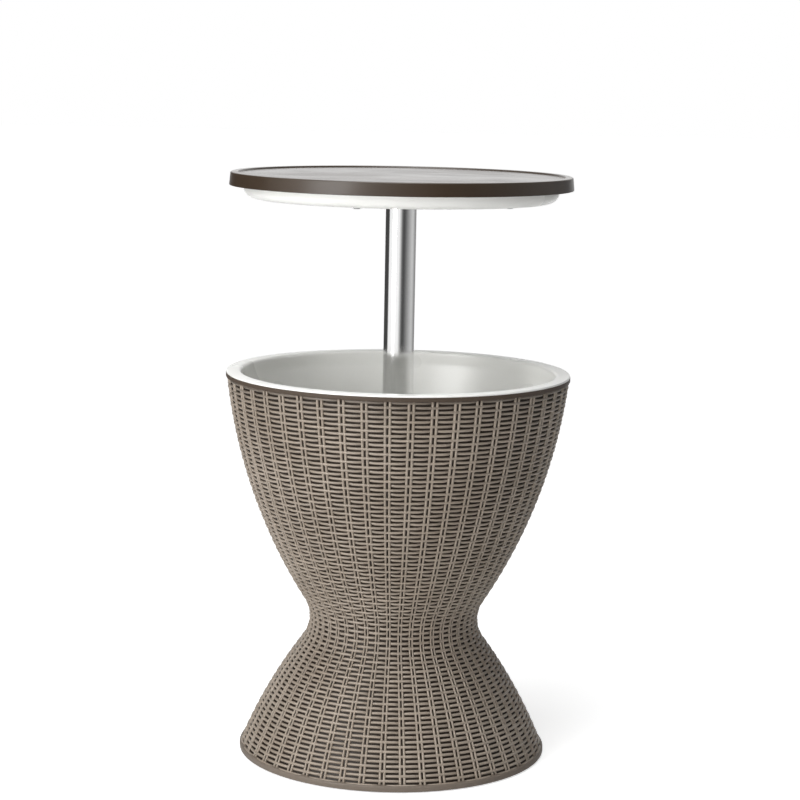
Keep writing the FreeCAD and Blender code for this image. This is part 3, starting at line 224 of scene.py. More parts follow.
class CoolerSettings(bpy.types.PropertyGroup):
    """Colours and roundings of the tub, the pan and the table top."""

    white_colour: colour_property("White resin", "Colour of the tub and the pan", (0.87, 0.87, 0.84))
    brown_colour: colour_property("Brown resin", "Colour of the table top", (0.036, 0.023, 0.0135))
    rim_round: length_property("Rim rounding", "Rounding of the tub's outer rim", 0.0016)
    lip_round: length_property("Lip rounding", "Rounding of the table's raised lip", 0.0022)
    pan_round: length_property("Pan rounding", "Rounding of the pan's lower corner", 0.016)


class StageSettings(bpy.types.PropertyGroup):
    """Camera, lamps and floor."""

    camera_height: length_property("Camera height", "Height of the camera above the floor", 0.996)
    camera_distance: length_property("Camera distance", "Distance of the camera from the pole", 3.205)
    camera_pitch: angle_property("Camera pitch", "How far the camera looks down", 8.52)
    camera_yaw: angle_property("Camera yaw", "How far the camera looks to the right", 0.06)
    camera_roll: angle_property("Camera roll", "How far the camera is rolled", 1.11)
    lens: FloatProperty(name="Lens", description="Focal length", default=101.07, min=1.0, unit="CAMERA")
    surround: light_property("Surround light", "Strength of the light from all round", 0.22)
    key_power: light_property("Key lamp", "Power of the tall lamp on the left", 65.0, "POWER")
    front_power: light_property("Front lamp", "Power of the low, soft lamp in front", 15.0, "POWER")
    top_power: light_property("Top lamp", "Power of the lamp overhead", 44.0, "POWER")


# Meshes


def grid_quads(lines, columns, wrap_lines, wrap_columns):
    """Corner numbers of the quads of a grid, where a wrapped direction joins its last line to its first."""
    i = np.arange(lines if wrap_lines else lines - 1)[:, None]
    j = np.arange(columns if wrap_columns else columns - 1)[None, :]
    i_next = (i + 1) % lines
    j_next = (j + 1) % columns
    corners = ((i, j), (i, j_next), (i_next, j_next), (i_next, j))
    return np.stack([line * columns + column for line, column in corners], -1).reshape(-1, 4)


def signed_volume(points, quads):
    """Volume inside a closed surface, negative when its faces point inwards: the sum over faces of the
    corner tetrahedra a . (b x c) / 6."""
    a, b, c, d = (points[quads[:, k]] for k in range(4))
    volume = np.einsum("ij,ij->i", a, np.cross(b, c)) + np.einsum("ij,ij->i", a, np.cross(c, d))
    return volume.sum() / 6.0


def new_object(name, data):
    """Object with its mesh, lamp or camera, in the scene."""
    thing = bpy.data.objects.new(name, data)
    bpy.context.scene.collection.objects.link(thing)
    return thing


def new_piece(name, body, slot, points, quads, caps=(), sharp_angle=None, material=None):
    """Piece from points and quads, with extra many-sided faces in caps, facing outwards and riding on a body. It
    has the finish of its slot, unless a material is given."""
    if signed_volume(points, quads) < 0.0:
        quads = quads[:, ::-1]
        caps = [cap[::-1] for cap in caps]
    corners = np.concatenate([quads.ravel()] + [np.asarray(cap) for cap in caps]).astype(np.int32)
    counts = np.concatenate([np.full(len(quads), 4), [len(cap) for cap in caps]]).astype(np.int32)
    starts = np.concatenate([[0], np.cumsum(counts)[:-1]]).astype(np.int32)
    mesh = bpy.data.meshes.new(name)
    mesh.vertices.add(len(points))
    mesh.vertices.foreach_set("co", points.astype(np.float32).ravel())
    mesh.loops.add(len(corners))
    mesh.loops.foreach_set("vertex_index", corners)
    mesh.polygons.add(len(counts))
    mesh.polygons.foreach_set("loop_start", starts)
    mesh.update(calc_edges=True)
    mesh.polygons.foreach_set("use_smooth", np.ones(len(counts), dtype=bool))
    if sharp_angle is not None:
        mesh.set_sharp_from_angle(angle=sharp_angle)
    mesh.materials.append(material or slot_material(slot))
    piece = new_object(name, mesh)
    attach(piece, body)
    return piece


def repeated(quads, copies, points_each):
    """Quads of many like tubes, each tube's points following the last one's."""
    return (quads[None] + (np.arange(copies) * points_each)[:, None, None]).reshape(-1, 4)


def rounded_profile(corners, steps=6):
    """Half section as an array of (radius, height): each corner (r, z, rounding) becomes an arc that touches
    both its sides, with points centre + rounding * direction, the direction turning evenly between the sides'
    normals."""
    spans = []
    for k, corner in enumerate(corners):
        point = np.array(corner[:2], float)
        rounding = corner[2] if len(corner) > 2 else 0.0
        if rounding == 0.0:
            spans.append(point[None, :])
            continue
        before = np.array(corners[k - 1][:2]) - point
        after = np.array(corners[(k + 1) % len(corners)][:2]) - point
        before /= np.linalg.norm(before)
        after /= np.linalg.norm(after)
        half = 0.5 * math.acos(float(np.clip(before @ after, -1.0, 1.0)))
        bisector = (before + after) / np.linalg.norm(before + after)
        centre = point + bisector * rounding / math.sin(half)
        first = point + before * rounding / math.tan(half) - centre
        last = point + after * rounding / math.tan(half) - centre
        turn = math.pi - 2.0 * half
        t = np.linspace(0.0, 1.0, steps + 1)[:, None]
        spans.append(centre + (np.sin((1.0 - t) * turn) * first + np.sin(t * turn) * last) / math.sin(turn))
    return np.concatenate(spans)


def with_steps(profile, longest):
    """Profile with extra points so that no run between two points is longer than longest."""
    following = np.roll(profile, -1, axis=0)
    spans = []
    for start, end in zip(profile, following):
        count = max(1, int(math.ceil(np.linalg.norm(end - start) / longest)))
        t = np.arange(count)[:, None] / count
        spans.append(start + (end - start) * t)
    return np.concatenate(spans)


def turned_points(profile, steps):
    """Points of a surface of revolution: (r sin t, -r cos t, z) for every (r, z) of the profile and turn t."""
    turn = np.linspace(0.0, 2.0 * math.pi, steps, endpoint=False)
    r = profile[:, 0][:, None]
    z = np.broadcast_to(profile[:, 1][:, None], (len(profile), steps))
    return np.stack([r * np.sin(turn), -r * np.cos(turn), z], -1).reshape(-1, 3)


def turned_piece(name, body, slot, profile, steps=ROUND_STEPS, ring=True, material=None):
    """Profile turned once round the pole: a ring from a closed profile, or else a disc from one that starts and
    ends near the axis, with the two small central holes closed by many-sided faces."""
    points = turned_points(profile, steps)
    quads = grid_quads(len(profile), steps, ring, True)
    turn = np.arange(steps)
    caps = () if ring else (turn[::-1], (len(profile) - 1) * steps + turn)
    return new_piece(name, body, slot, points, quads, caps, SHARP_ANGLE, material)


# Side curve of the body


def side_centres():
    """Centres (r, z) of the lower bell, the waist curve and the upper bell. The waist centre is as far from
    each bell centre as the two radii together."""
    rise = UPPER_BELL_CENTRE - BODY_TOP
    upper = np.array([UPPER_BELL_REACH - math.sqrt(UPPER_BELL_RADIUS ** 2 - rise ** 2), UPPER_BELL_CENTRE])
    reach = math.sqrt(LOWER_BELL_RADIUS ** 2 - LOWER_BELL_CENTRE ** 2)
    lower = np.array([LOWER_BELL_REACH - reach, LOWER_BELL_CENTRE])
    to_lower = LOWER_BELL_RADIUS + WAIST_CURVE
    to_upper = UPPER_BELL_RADIUS + WAIST_CURVE
    between = upper - lower
    span = float(np.linalg.norm(between))
    along = (to_lower ** 2 - to_upper ** 2 + span ** 2) / (2.0 * span)
    out = math.sqrt(to_lower ** 2 - along ** 2)
    direction = between / span
    waist = lower + direction * along + np.array([direction[1], -direction[0]]) * out
    return lower, waist, upper


LOWER, WAIST, UPPER = side_centres()
LOWER_START = math.asin((FLOOR_GAP - LOWER[1]) / LOWER_BELL_RADIUS)
LOWER_END = math.atan2(WAIST[1] - LOWER[1], WAIST[0] - LOWER[0])
UPPER_START = math.atan2(WAIST[1] - UPPER[1], WAIST[0] - UPPER[0])
UPPER_END = math.asin((BODY_TOP - UPPER[1]) / UPPER_BELL_RADIUS)
LOWER_RUN = LOWER_BELL_RADIUS * (LOWER_END - LOWER_START)
WAIST_RUN = WAIST_CURVE * (LOWER_END - UPPER_START)
UPPER_RUN = UPPER_BELL_RADIUS * (UPPER_END - UPPER_START)
SIDE_RUN = LOWER_RUN + WAIST_RUN + UPPER_RUN


def side_points(run, inset):
    """Radius and height of the side after a run along it from the floor, moved inwards square to it by inset.
    Each bell is centre + (R - inset) (cos a, sin a), and the waist is centre - (R + inset) (cos a, sin a)."""
    a = LOWER_START + run / LOWER_BELL_RADIUS
    b = LOWER_END - (run - LOWER_RUN) / WAIST_CURVE
    c = UPPER_START + (run - LOWER_RUN - WAIST_RUN) / UPPER_BELL_RADIUS
    in_lower = run < LOWER_RUN
    in_waist = run < LOWER_RUN + WAIST_RUN
    lower = LOWER_BELL_RADIUS - inset
    waist = -(WAIST_CURVE + inset)
    upper = UPPER_BELL_RADIUS - inset
    r = np.where(in_lower, LOWER[0] + lower * np.cos(a),
                 np.where(in_waist, WAIST[0] + waist * np.cos(b), UPPER[0] + upper * np.cos(c)))
    z = np.where(in_lower, LOWER[1] + lower * np.sin(a),
                 np.where(in_waist, WAIST[1] + waist * np.sin(b), UPPER[1] + upper * np.sin(c)))
    return r, z


def inner_radius(run):
    """Radius of the inner face after a run along the side."""
    return float(side_points(np.array(run), INNER_INSET)[0])


def run_at(height):
    """Run along the side at which one of the two bells reaches a height."""
    if height < WAIST[1]:
        return LOWER_BELL_RADIUS * (math.asin((height - LOWER[1]) / LOWER_BELL_RADIUS) - LOWER_START)
    turn = math.asin((height - UPPER[1]) / UPPER_BELL_RADIUS) - UPPER_START
    return LOWER_RUN + WAIST_RUN + UPPER_BELL_RADIUS * turn


WAIST_MIDDLE_RUN = LOWER_RUN + WAIST_CURVE * LOWER_END
WEAVE_START = run_at(FLOOR_GAP + BASE_BAND)
WEAVE_END = run_at(BODY_TOP - TOP_BAND)
WAIST_HEIGHT = float(side_points(np.array(WAIST_MIDDLE_RUN), 0.0)[1])


def run_at_inner(height):
    """Run near the waist at which the inner face reaches a height: the nearest of many samples."""
    run = np.linspace(LOWER_RUN, LOWER_RUN + WAIST_RUN, 400)
    z = side_points(run, INNER_INSET)[1]
    return float(run[np.argmin(np.abs(z - height))])


def side_profile(start, end, inset, count):
    """Points (r, z) of the side between two runs at an inset."""
    r, z = side_points(np.linspace(start, end, count), inset)
    return np.stack([r, z], -1)


# Materials

WHITE = (1.0, 1.0, 1.0, 1.0)

# Moulded finishes: light and dark tone, low and high roughness, grain scale and grain depth
MOULDED_FINISHES = {
    "inner_resin": ((0.17, 0.14, 0.11), (0.13, 0.105, 0.08), 0.45, 0.6, 800.0, 0.00005),
    "grey_nylon": ((0.46, 0.46, 0.45), (0.38, 0.38, 0.37), 0.40, 0.5, 1300.0, 0.00003),
    "black_nylon": ((0.040, 0.040, 0.042), (0.025, 0.025, 0.027), 0.42, 0.55, 1300.0, 0.00004),
    "seal_rubber": ((0.035, 0.035, 0.035), (0.02, 0.02, 0.02), 0.6, 0.75, 1800.0, 0.00003),
}

# Metal finishes: colour, low and high roughness, stretch of the drawn lines and their depth
METAL_FINISHES = {
    "bright_tube": ((0.90, 0.90, 0.90), 0.07, 0.12, (900.0, 900.0, 6.0), 0.000004),
    "plain_tube": ((0.72, 0.72, 0.72), 0.28, 0.38, (700.0, 700.0, 8.0), 0.00002),
    "bright_steel": ((0.55, 0.55, 0.56), 0.25, 0.36, (500.0, 500.0, 500.0), 0.00001),
}


def shade(colour, factor):
    """The colour made lighter or darker by a factor."""
    return tuple(channel * factor for channel in colour)


def add_node(tree, kind, inputs, **settings):
    """Node with its settings, and its inputs by label or number, each a value or another node's output."""
    node = tree.nodes.new("ShaderNode" + kind)
    for name, value in settings.items():
        setattr(node, name, value)
    for label, value in inputs.items():
        if isinstance(value, bpy.types.NodeSocket):
            tree.links.new(value, node.inputs[label])
        else:
            node.inputs[label].default_value = value
    return node


def noise(tree, vector, scale, detail, roughness=0.5):
    """Noise between 0 and 1."""
    node = add_node(tree, "TexNoise", {
        "Vector": vector, "Scale": scale, "Detail": detail, "Roughness": roughness})
    return node.outputs["Fac"]


def mixed(tree, factor, first, second, **settings):
    """Blend from the first to the second as the factor goes from 0 to 1."""
    return add_node(tree, "Mix", {"Factor": factor, "A": first, "B": second}, **settings).outputs["Result"]


def ranged(tree, value, start, end, low=0.0, high=1.0):
    """Value that goes from low to high as another goes from start to end, and stays between them."""
    node = add_node(tree, "MapRange", {
        "Value": value, "From Min": start, "From Max": end, "To Min": low, "To Max": high})
    return node.outputs["Result"]


def computed(tree, operation, first, second):
    """Value of a Math node's operation on two values."""
    return add_node(tree, "Math", {0: first, 1: second}, operation=operation).outputs[0]


def drawn_lines(tree, vector, stretch, detail):
    """Noise whose stretched coordinates draw it out into fine lines."""
    mapping = add_node(tree, "Mapping", {"Vector": vector, "Scale": stretch})
    return noise(tree, mapping.outputs["Vector"], 1.0, detail)


def new_group(name, inputs, output, kind):
    """Empty shader group with named inputs and one named output: the group, its inputs' values and the socket
    that takes its result."""
    group = bpy.data.node_groups.new(name, "ShaderNodeTree")
    for label, socket_kind, default in (("Vector", "Vector", None),) + inputs:
        socket = group.interface.new_socket(label, in_out="INPUT", socket_type="NodeSocket" + socket_kind)
        if default is not None:
            socket.default_value = default
    group.interface.new_socket(output, in_out="OUTPUT", socket_type="NodeSocket" + kind)
    given = group.nodes.new("NodeGroupInput").outputs
    return group, given, group.nodes.new("NodeGroupOutput").inputs[output]


def mottle_group():
    """Colour that drifts between two tones, broad drift and fine speckle together."""
    group, given, result = new_group(
        "Colour mottle",
        (("Light", "Color", WHITE), ("Dark", "Color", (0.0, 0.0, 0.0, 1.0)),
         ("Broad scale", "Float", 6.0), ("Fine scale", "Float", 300.0)),
        "Colour", "Color")
    broad = noise(group, given["Vector"], given["Broad scale"], 2.0)
    fine = noise(group, given["Vector"], given["Fine scale"], 3.0, 0.6)
    spread = ranged(group, mixed(group, 0.4, broad, fine), 0.32, 0.68)
    group.links.new(mixed(group, spread, given["Dark"], given["Light"], data_type="RGBA"), result)
    return group


def grain_group():
    """Height of a moulded grain: fine pebbles over a slow ripple."""
    group, given, result = new_group(
        "Moulded grain",
        (("Pebble scale", "Float", 900.0), ("Ripple scale", "Float", 18.0), ("Ripple share", "Float", 0.3)),
        "Height", "Float")
    pebbles = add_node(
        group, "TexVoronoi", {"Vector": given["Vector"], "Scale": given["Pebble scale"]}, feature="SMOOTH_F1")
    ripple = noise(group, given["Vector"], given["Ripple scale"], 1.0)
    group.links.new(mixed(group, given["Ripple share"], pebbles.outputs["Distance"], ripple), result)
    return group


def handling_group():
    """Roughness that varies where a surface has been wiped and handled."""
    group, given, result = new_group(
        "Handling marks", (("Scale", "Float", 9.0), ("Low", "Float", 0.2), ("High", "Float", 0.4)),
        "Roughness", "Float")
    patches = noise(group, given["Vector"], given["Scale"], 2.0)
    group.links.new(ranged(group, patches, 0.35, 0.65, given["Low"], given["High"]), result)
    return group


GROUPS = {"Colour mottle": mottle_group, "Moulded grain": grain_group, "Handling marks": handling_group}


def from_group(tree, name, place, inputs):
    """Output of a shared group in a material, with the group made on first use."""
    group = bpy.data.node_groups.get(name) or GROUPS[name]()
    return add_node(tree, "Group", {"Vector": place, **inputs}, node_tree=group).outputs[0]


def mottled(tree, place, light, dark, broad=6.0, fine=300.0):
    """Colour mottled between a light and a dark tone."""
    return from_group(tree, "Colour mottle", place, {
        "Light": (*light, 1.0), "Dark": (*dark, 1.0), "Broad scale": broad, "Fine scale": fine})


def handled(tree, place, low, high, scale=9.0):
    """Roughness between low and high in wiped patches."""
    return from_group(tree, "Handling marks", place, {"Scale": scale, "Low": low, "High": high})


def new_material(name):
    """Material with its tree, its shader and the object coordinates."""
    material = bpy.data.materials.new(name)
    material.use_nodes = True
    tree = material.node_tree
    shader = tree.nodes["Principled BSDF"]
    return material, tree, shader, tree.nodes.new("ShaderNodeTexCoord").outputs["Object"]


def feed(tree, shader, colour, roughness, height, depth):
    """Link a colour, a roughness and a bump's height to the shader."""
    bump = add_node(tree, "Bump", {"Strength": 1.0, "Distance": depth, "Height": height})
    tree.links.new(colour, shader.inputs["Base Color"])
    tree.links.new(roughness, shader.inputs["Roughness"])
    tree.links.new(bump.outputs["Normal"], shader.inputs["Normal"])


def moulded_material(name, light, dark, low, high, pebble, depth, ripple=0.3):
    """Moulded resin: mottled colour, wiped roughness and a fine grain."""
    material, tree, shader, place = new_material(name)
    grain = from_group(tree, "Moulded grain", place, {"Pebble scale": pebble, "Ripple share": ripple})
    feed(tree, shader, mottled(tree, place, light, dark), handled(tree, place, low, high), grain, depth)
    return material, tree, shader, place


def metal_material(name, colour, low, high, stretch, depth):
    """Bare metal with fine drawn or turned lines along one direction."""
    material, tree, shader, place = new_material(name)
    shader.inputs["Metallic"].default_value = 1.0
    feed(tree, shader, mottled(tree, place, colour, shade(colour, 0.93), 12.0, 200.0),
         handled(tree, place, low, high), drawn_lines(tree, place, stretch, 3.0), depth)
    return material


def white_resin(settings):
    """Smooth white resin."""
    white = settings.white_colour
    return moulded_material("white_resin_finish", white, shade(white, 0.97), 0.27, 0.30, 1400.0, 0.00001)[0]


def brown_resin(settings):
    """Brown resin, satin on the skirt and smoother where the surface faces up."""
    brown = settings.brown_colour
    material, tree, shader, place = moulded_material(
        "brown_resin_finish", shade(brown, 1.15), shade(brown, 0.85), 0.30, 0.40, 1100.0, 0.00002, 0.15)
    shader.inputs["Specular IOR Level"].default_value = 0.45
    normal = tree.nodes.new("ShaderNodeNewGeometry").outputs["Normal"]
    facing_up = ranged(tree, add_node(tree, "SeparateXYZ", {"Vector": normal}).outputs["Z"], 0.7, 0.95)
    satin = shader.inputs["Roughness"].links[0].from_socket
    roughness = mixed(tree, facing_up, satin, handled(tree, place, 0.16, 0.24))
    tree.links.new(roughness, shader.inputs["Roughness"])
    return material


def strand_material(settings):
    """Satin strand: tone from strand to strand, with painted shade of the band on the top rows, fine lines along
    it and a soft drift of colour.
    """
    material, tree, shader, place = new_material("woven_resin_finish")
    shader.inputs["Specular IOR Level"].default_value = 0.5
    drift = mottled(tree, place, settings.light_colour, settings.dark_colour, 9.0, 500.0)
    # The tone attribute holds random tone and, on the top rows, painted shade
    tone = add_node(tree, "Attribute", {}, attribute_name="tone").outputs["Color"]
    along = add_node(tree, "Attribute", {}, attribute_name="along").outputs["Vector"]
    feed(tree, shader, mixed(tree, 1.0, drift, tone, data_type="RGBA", blend_type="MULTIPLY"),
         handled(tree, place, 0.32, 0.44, 25.0), drawn_lines(tree, along, (60.0, 2600.0, 60.0), 2.0), 0.00012)
    return material


def backing_material(settings):
    """Shell behind the strands: near black in the gaps as painted shade, plain resin on the two bands, with the
    rim band's colour darkened by painted shade.
    """
    gap_shade = settings.gap_shade_colour
    material, tree, shader, place = moulded_material(
        "body_backing", gap_shade, shade(gap_shade, 0.8), 0.40, 0.52, 900.0, 0.00004)
    shader.inputs["Specular IOR Level"].default_value = 0.2
    height = add_node(tree, "SeparateXYZ", {"Vector": place}).outputs["Z"]
    colour = shader.inputs["Base Color"].links[0].from_socket
    # The rim band's darker colour is painted shade under the rim
    bands = (("GREATER_THAN", BODY_TOP - TOP_BAND - BAND_OVERLAP, settings.rim_band_shade_colour),
             ("LESS_THAN", FLOOR_GAP + BASE_BAND + BAND_OVERLAP, settings.foot_colour))
    for operation, edge, band in bands:
        inside = computed(tree, operation, height, edge)
        plain = mottled(tree, place, shade(band, 1.08), shade(band, 0.92))
        colour = mixed(tree, inside, colour, plain, data_type="RGBA")
    tree.links.new(colour, shader.inputs["Base Color"])
    return material


def slot_material(slot):
    """The finish of a record slot, made on first use."""
    name = slot + "_finish"
    known = bpy.data.materials.get(name)
    if known:
        return known
    if slot in MOULDED_FINISHES:
        return moulded_material(name, *MOULDED_FINISHES[slot])[0]
    if slot in METAL_FINISHES:
        return metal_material(name, *METAL_FINISHES[slot])
    if slot == "woven_resin":
        return strand_material(bpy.context.scene.cooler_weave)
    maker = {"white_resin": white_resin, "brown_resin": brown_resin}[slot]
    return maker(bpy.context.scene.cooler_colours)


# Operators


class WeaveRows(bpy.types.Operator):
    """Weave the weaver strands round the stakes, over one pair and under the next."""

    bl_idname = "cooler_table.weave_rows"
    bl_label = "Weaver strands"

    def execute(self, context):
        settings = context.scene.cooler_weave
        middle = row_middles(settings)
        parts = np.array_split(np.arange(len(middle)), 3)
        rng = np.random.default_rng(ROW_SEED)
        tones_and_band_shade = 1.0 + ROW_TONES * rng.standard_normal((len(middle), settings.pairs))
        # Painted shade: the top rows' tone is darkened for the band's shade, which fades away over the first rows
        tones_and_band_shade *= 1.0 - settings.top_shade * np.exp(-np.arange(len(middle)) / SHADED_ROWS)[:, None]
        for name, rows in zip(("weave_upper", "weave_middle", "weave_lower"), parts):
            weaver_tubes(name, rows, middle[rows], tones_and_band_shade[rows], settings)
        return {"FINISHED"}


def row_middles(settings):
    """Runs of the rows' middles from the top down: one pitch to the waist and another below it."""
    top = WEAVE_END + settings.tuck
    above = round((top - WAIST_MIDDLE_RUN) / settings.upper_pitch)
    upper = top - (np.arange(above) + 0.5) * settings.upper_pitch
    waist = top - above * settings.upper_pitch
    below = math.ceil((waist - WEAVE_START) / settings.lower_pitch)
    lower = waist - (np.arange(below) + 0.5) * settings.lower_pitch
    return np.concatenate([upper, lower])


def weaver_tubes(name, rows, middle, tones_and_band_shade, settings):
    """Closed rings of strand. For n pairs and turn t the strand sinks by (1 - s cos(n t / 2)) / 2 to the power
    DIVE_POWER times its whole dive, where s is +1 in one row and -1 in the next, so it lies over one pair and
    dives behind the next. Its section is a low dome on a flat back, and each point lies at run + q, inset - h
    on the side."""
    steps = settings.pairs * STEPS_PER_PAIR
    turn = np.arange(steps) * 2.0 * math.pi / steps
    sign = np.where(rows % 2 == 0, 1.0, -1.0)[:, None]
    over = 0.5 * settings.strand_thickness
    dive = BACKING_INSET + settings.dip
    depth = over + dive * (0.5 - 0.5 * sign * np.cos(0.5 * settings.pairs * turn)[None, :]) ** DIVE_POWER
    q = np.array([-1.0, -0.72, 0.08, 0.72, 1.0]) * 0.5 * settings.strand_height
    h = np.array([-1.0, 0.15, 1.0, 0.3, -0.9]) * 0.5 * settings.strand_thickness
    run = middle[:, None, None] + q[None, None, :]
    inset = depth[:, :, None] - h[None, None, :]
    run = np.broadcast_to(run, inset.shape)
    r, z = side_points(run, inset)
    t = (turn + settings.first_pair)[None, :, None]
    points = np.stack([r * np.sin(t), -r * np.cos(t), z], -1)
    quads = repeated(grid_quads(steps, len(q), True, True), len(rows), steps * len(q))
    piece = new_piece(name, "stand", "woven_resin", points.reshape(-1, 3), quads)
    span = np.arange(steps) // STEPS_PER_PAIR
    tone = np.broadcast_to(tones_and_band_shade[:, span][:, :, None], inset.shape)
    along = np.stack([np.broadcast_to(turn[None, :, None] * MEAN_RADIUS, inset.shape), run,
                      np.broadcast_to(rows[:, None, None] * 1.0, inset.shape)], -1)
    add_attributes(piece, tone, along)


def add_attributes(piece, tone, along):
    """Tone of each strand, with any painted shade in it, and the coordinates along and across it, as attributes of
    the points.
    """
    colours = np.ones(tone.shape + (4,), np.float32)
    colours[..., :3] = tone[..., None]
    layer = piece.data.attributes.new("tone", "FLOAT_COLOR", "POINT")
    layer.data.foreach_set("color", colours.ravel())
    layer = piece.data.attributes.new("along", "FLOAT_VECTOR", "POINT")
    layer.data.foreach_set("vector", along.astype(np.float32).ravel())


class WeaveStakes(bpy.types.Operator):
    """Stand the upright strands in pairs round the body."""

    bl_idname = "cooler_table.weave_stakes"
    bl_label = "Stakes"

    def execute(self, context):
        piece = stake_tubes(context.scene.cooler_weave)
        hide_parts("stakes_upper", "stakes_lower")
        return {"FINISHED"}


def stake_tubes(settings):
    """Closed upright strands, two for each pair. Strands narrow less than the body does, so where the side has
    the radius r, their half width and their offset from the middle of the pair, both as turns, grow by
    (rim radius / r) to the power STAKE_GROWTH. Their section is a low dome: each point lies at the turn
    middle - offset or middle + offset, plus half width * q, and is moved inwards by inset - h."""
    run = np.linspace(WEAVE_START, WEAVE_END, STAKE_RINGS)
    radius = side_points(run, 0.0)[0]
    grow = (RIM_RADIUS / radius) ** STAKE_GROWTH
    half = 0.5 * settings.stake_width / RIM_RADIUS * grow
    offset = STAKE_OFFSET * grow
    q = np.array([-1.0, -0.82, -0.35, 0.35, 0.82, 1.0])
    h = np.array([-1.6, -0.2, 0.55, 0.55, -0.2, -1.6]) * 0.001
    pair = np.repeat(np.arange(settings.pairs), 2)
    side = np.tile([-1.0, 1.0], settings.pairs)
    centre = settings.first_pair + pair * 2.0 * math.pi / settings.pairs
    turn = centre[:, None, None] + side[:, None, None] * offset[None, :, None] + half[None, :, None] * q
    run = np.broadcast_to(run[None, :, None], turn.shape)
    r, z = side_points(run, np.broadcast_to(STAKE_INSET - h, turn.shape))
    points = np.stack([r * np.sin(turn), -r * np.cos(turn), z], -1)
    count = STAKE_RINGS * len(q)
    quads = repeated(grid_quads(STAKE_RINGS, len(q), False, True), len(pair), count)
    first = np.arange(len(q))[::-1]
    last = count - len(q) + np.arange(len(q))
    caps = [cap + k * count for k in range(len(pair)) for cap in (first, last)]
    piece = new_piece("weave_stakes", "stand", "woven_resin", points.reshape(-1, 3), quads, caps)
    rng = np.random.default_rng(STAKE_SEED)
    tone = 1.0 + STAKE_TONES * rng.standard_normal(len(pair))
    tone = np.broadcast_to(tone[:, None, None], turn.shape)
    pair = np.broadcast_to(pair[:, None, None] * 1.0, turn.shape)
    add_attributes(piece, tone, np.stack([run, turn * radius[None, :, None], pair], -1))
    return piece


class BodyShells(bpy.types.Operator):
    """Turn the two shells of the body, with their plain bands and bulkheads."""

    bl_idname = "cooler_table.body_shells"
    bl_label = "Body shells"

    def execute(self, context):
        material = backing_material(context.scene.cooler_weave)
        upper = turned_piece("body_upper", "stand", "woven_resin", upper_shell_profile(), material=material)
        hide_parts("shell_upper")
        lower = turned_piece("body_lower", "stand", "woven_resin", lower_shell_profile(), material=material)
        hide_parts("shell_lower")
        return {"FINISHED"}


def upper_shell_profile():
    """Closed half section of the upper shell: up the outside, over the plain band, down the inside to the
    bulkhead and along it to the column's hole."""
    top = WAIST_HEIGHT + BULKHEAD
    band_bottom = BODY_TOP - TOP_BAND
    outer = side_profile(WAIST_MIDDLE_RUN, WEAVE_END, BACKING_INSET, SIDE_RINGS)
    band = rounded_profile((
        (outer[-1][0], band_bottom), (RIM_RADIUS, band_bottom, PLAIN_EDGE), (RIM_RADIUS, BODY_TOP, PLAIN_EDGE),
        (inner_radius(SIDE_RUN), BODY_TOP)))
    inner = side_profile(SIDE_RUN, run_at_inner(top), INNER_INSET, INNER_RINGS)
    hole = np.array([[COLUMN_HOLE, top], [COLUMN_HOLE, WAIST_HEIGHT]])
    return np.concatenate([outer[:-1], band, inner[1:], hole])


def lower_shell_profile():
    """Closed half section of the lower shell: the plain band, up the outside to the waist, along the bulkhead
    to the column's hole and back, and down the inside to the ledge."""
    bottom = WAIST_HEIGHT - BULKHEAD
    band_top = FLOOR_GAP + BASE_BAND
    outer = side_profile(WEAVE_START, WAIST_MIDDLE_RUN, BACKING_INSET, INNER_RINGS)
    band = rounded_profile((
        (inner_radius(0.0), FLOOR_GAP), (BASE_RADIUS, FLOOR_GAP, FOOT_EDGE),
        (BASE_RADIUS, band_top, FOOT_SHOULDER), (outer[0][0], band_top)))
    hole = np.array([[COLUMN_HOLE, WAIST_HEIGHT], [COLUMN_HOLE, bottom]])
    ledge_run = run_at(LEDGE_TOP)
    inner = side_profile(run_at_inner(bottom), ledge_run, INNER_INSET, INNER_RINGS)
    ledge = np.array([
        [LEDGE_RADIUS, LEDGE_TOP], [LEDGE_RADIUS, LEDGE_BOTTOM], [inner_radius(ledge_run), LEDGE_BOTTOM]])
    return np.concatenate([band, outer[1:], hole, inner, ledge])


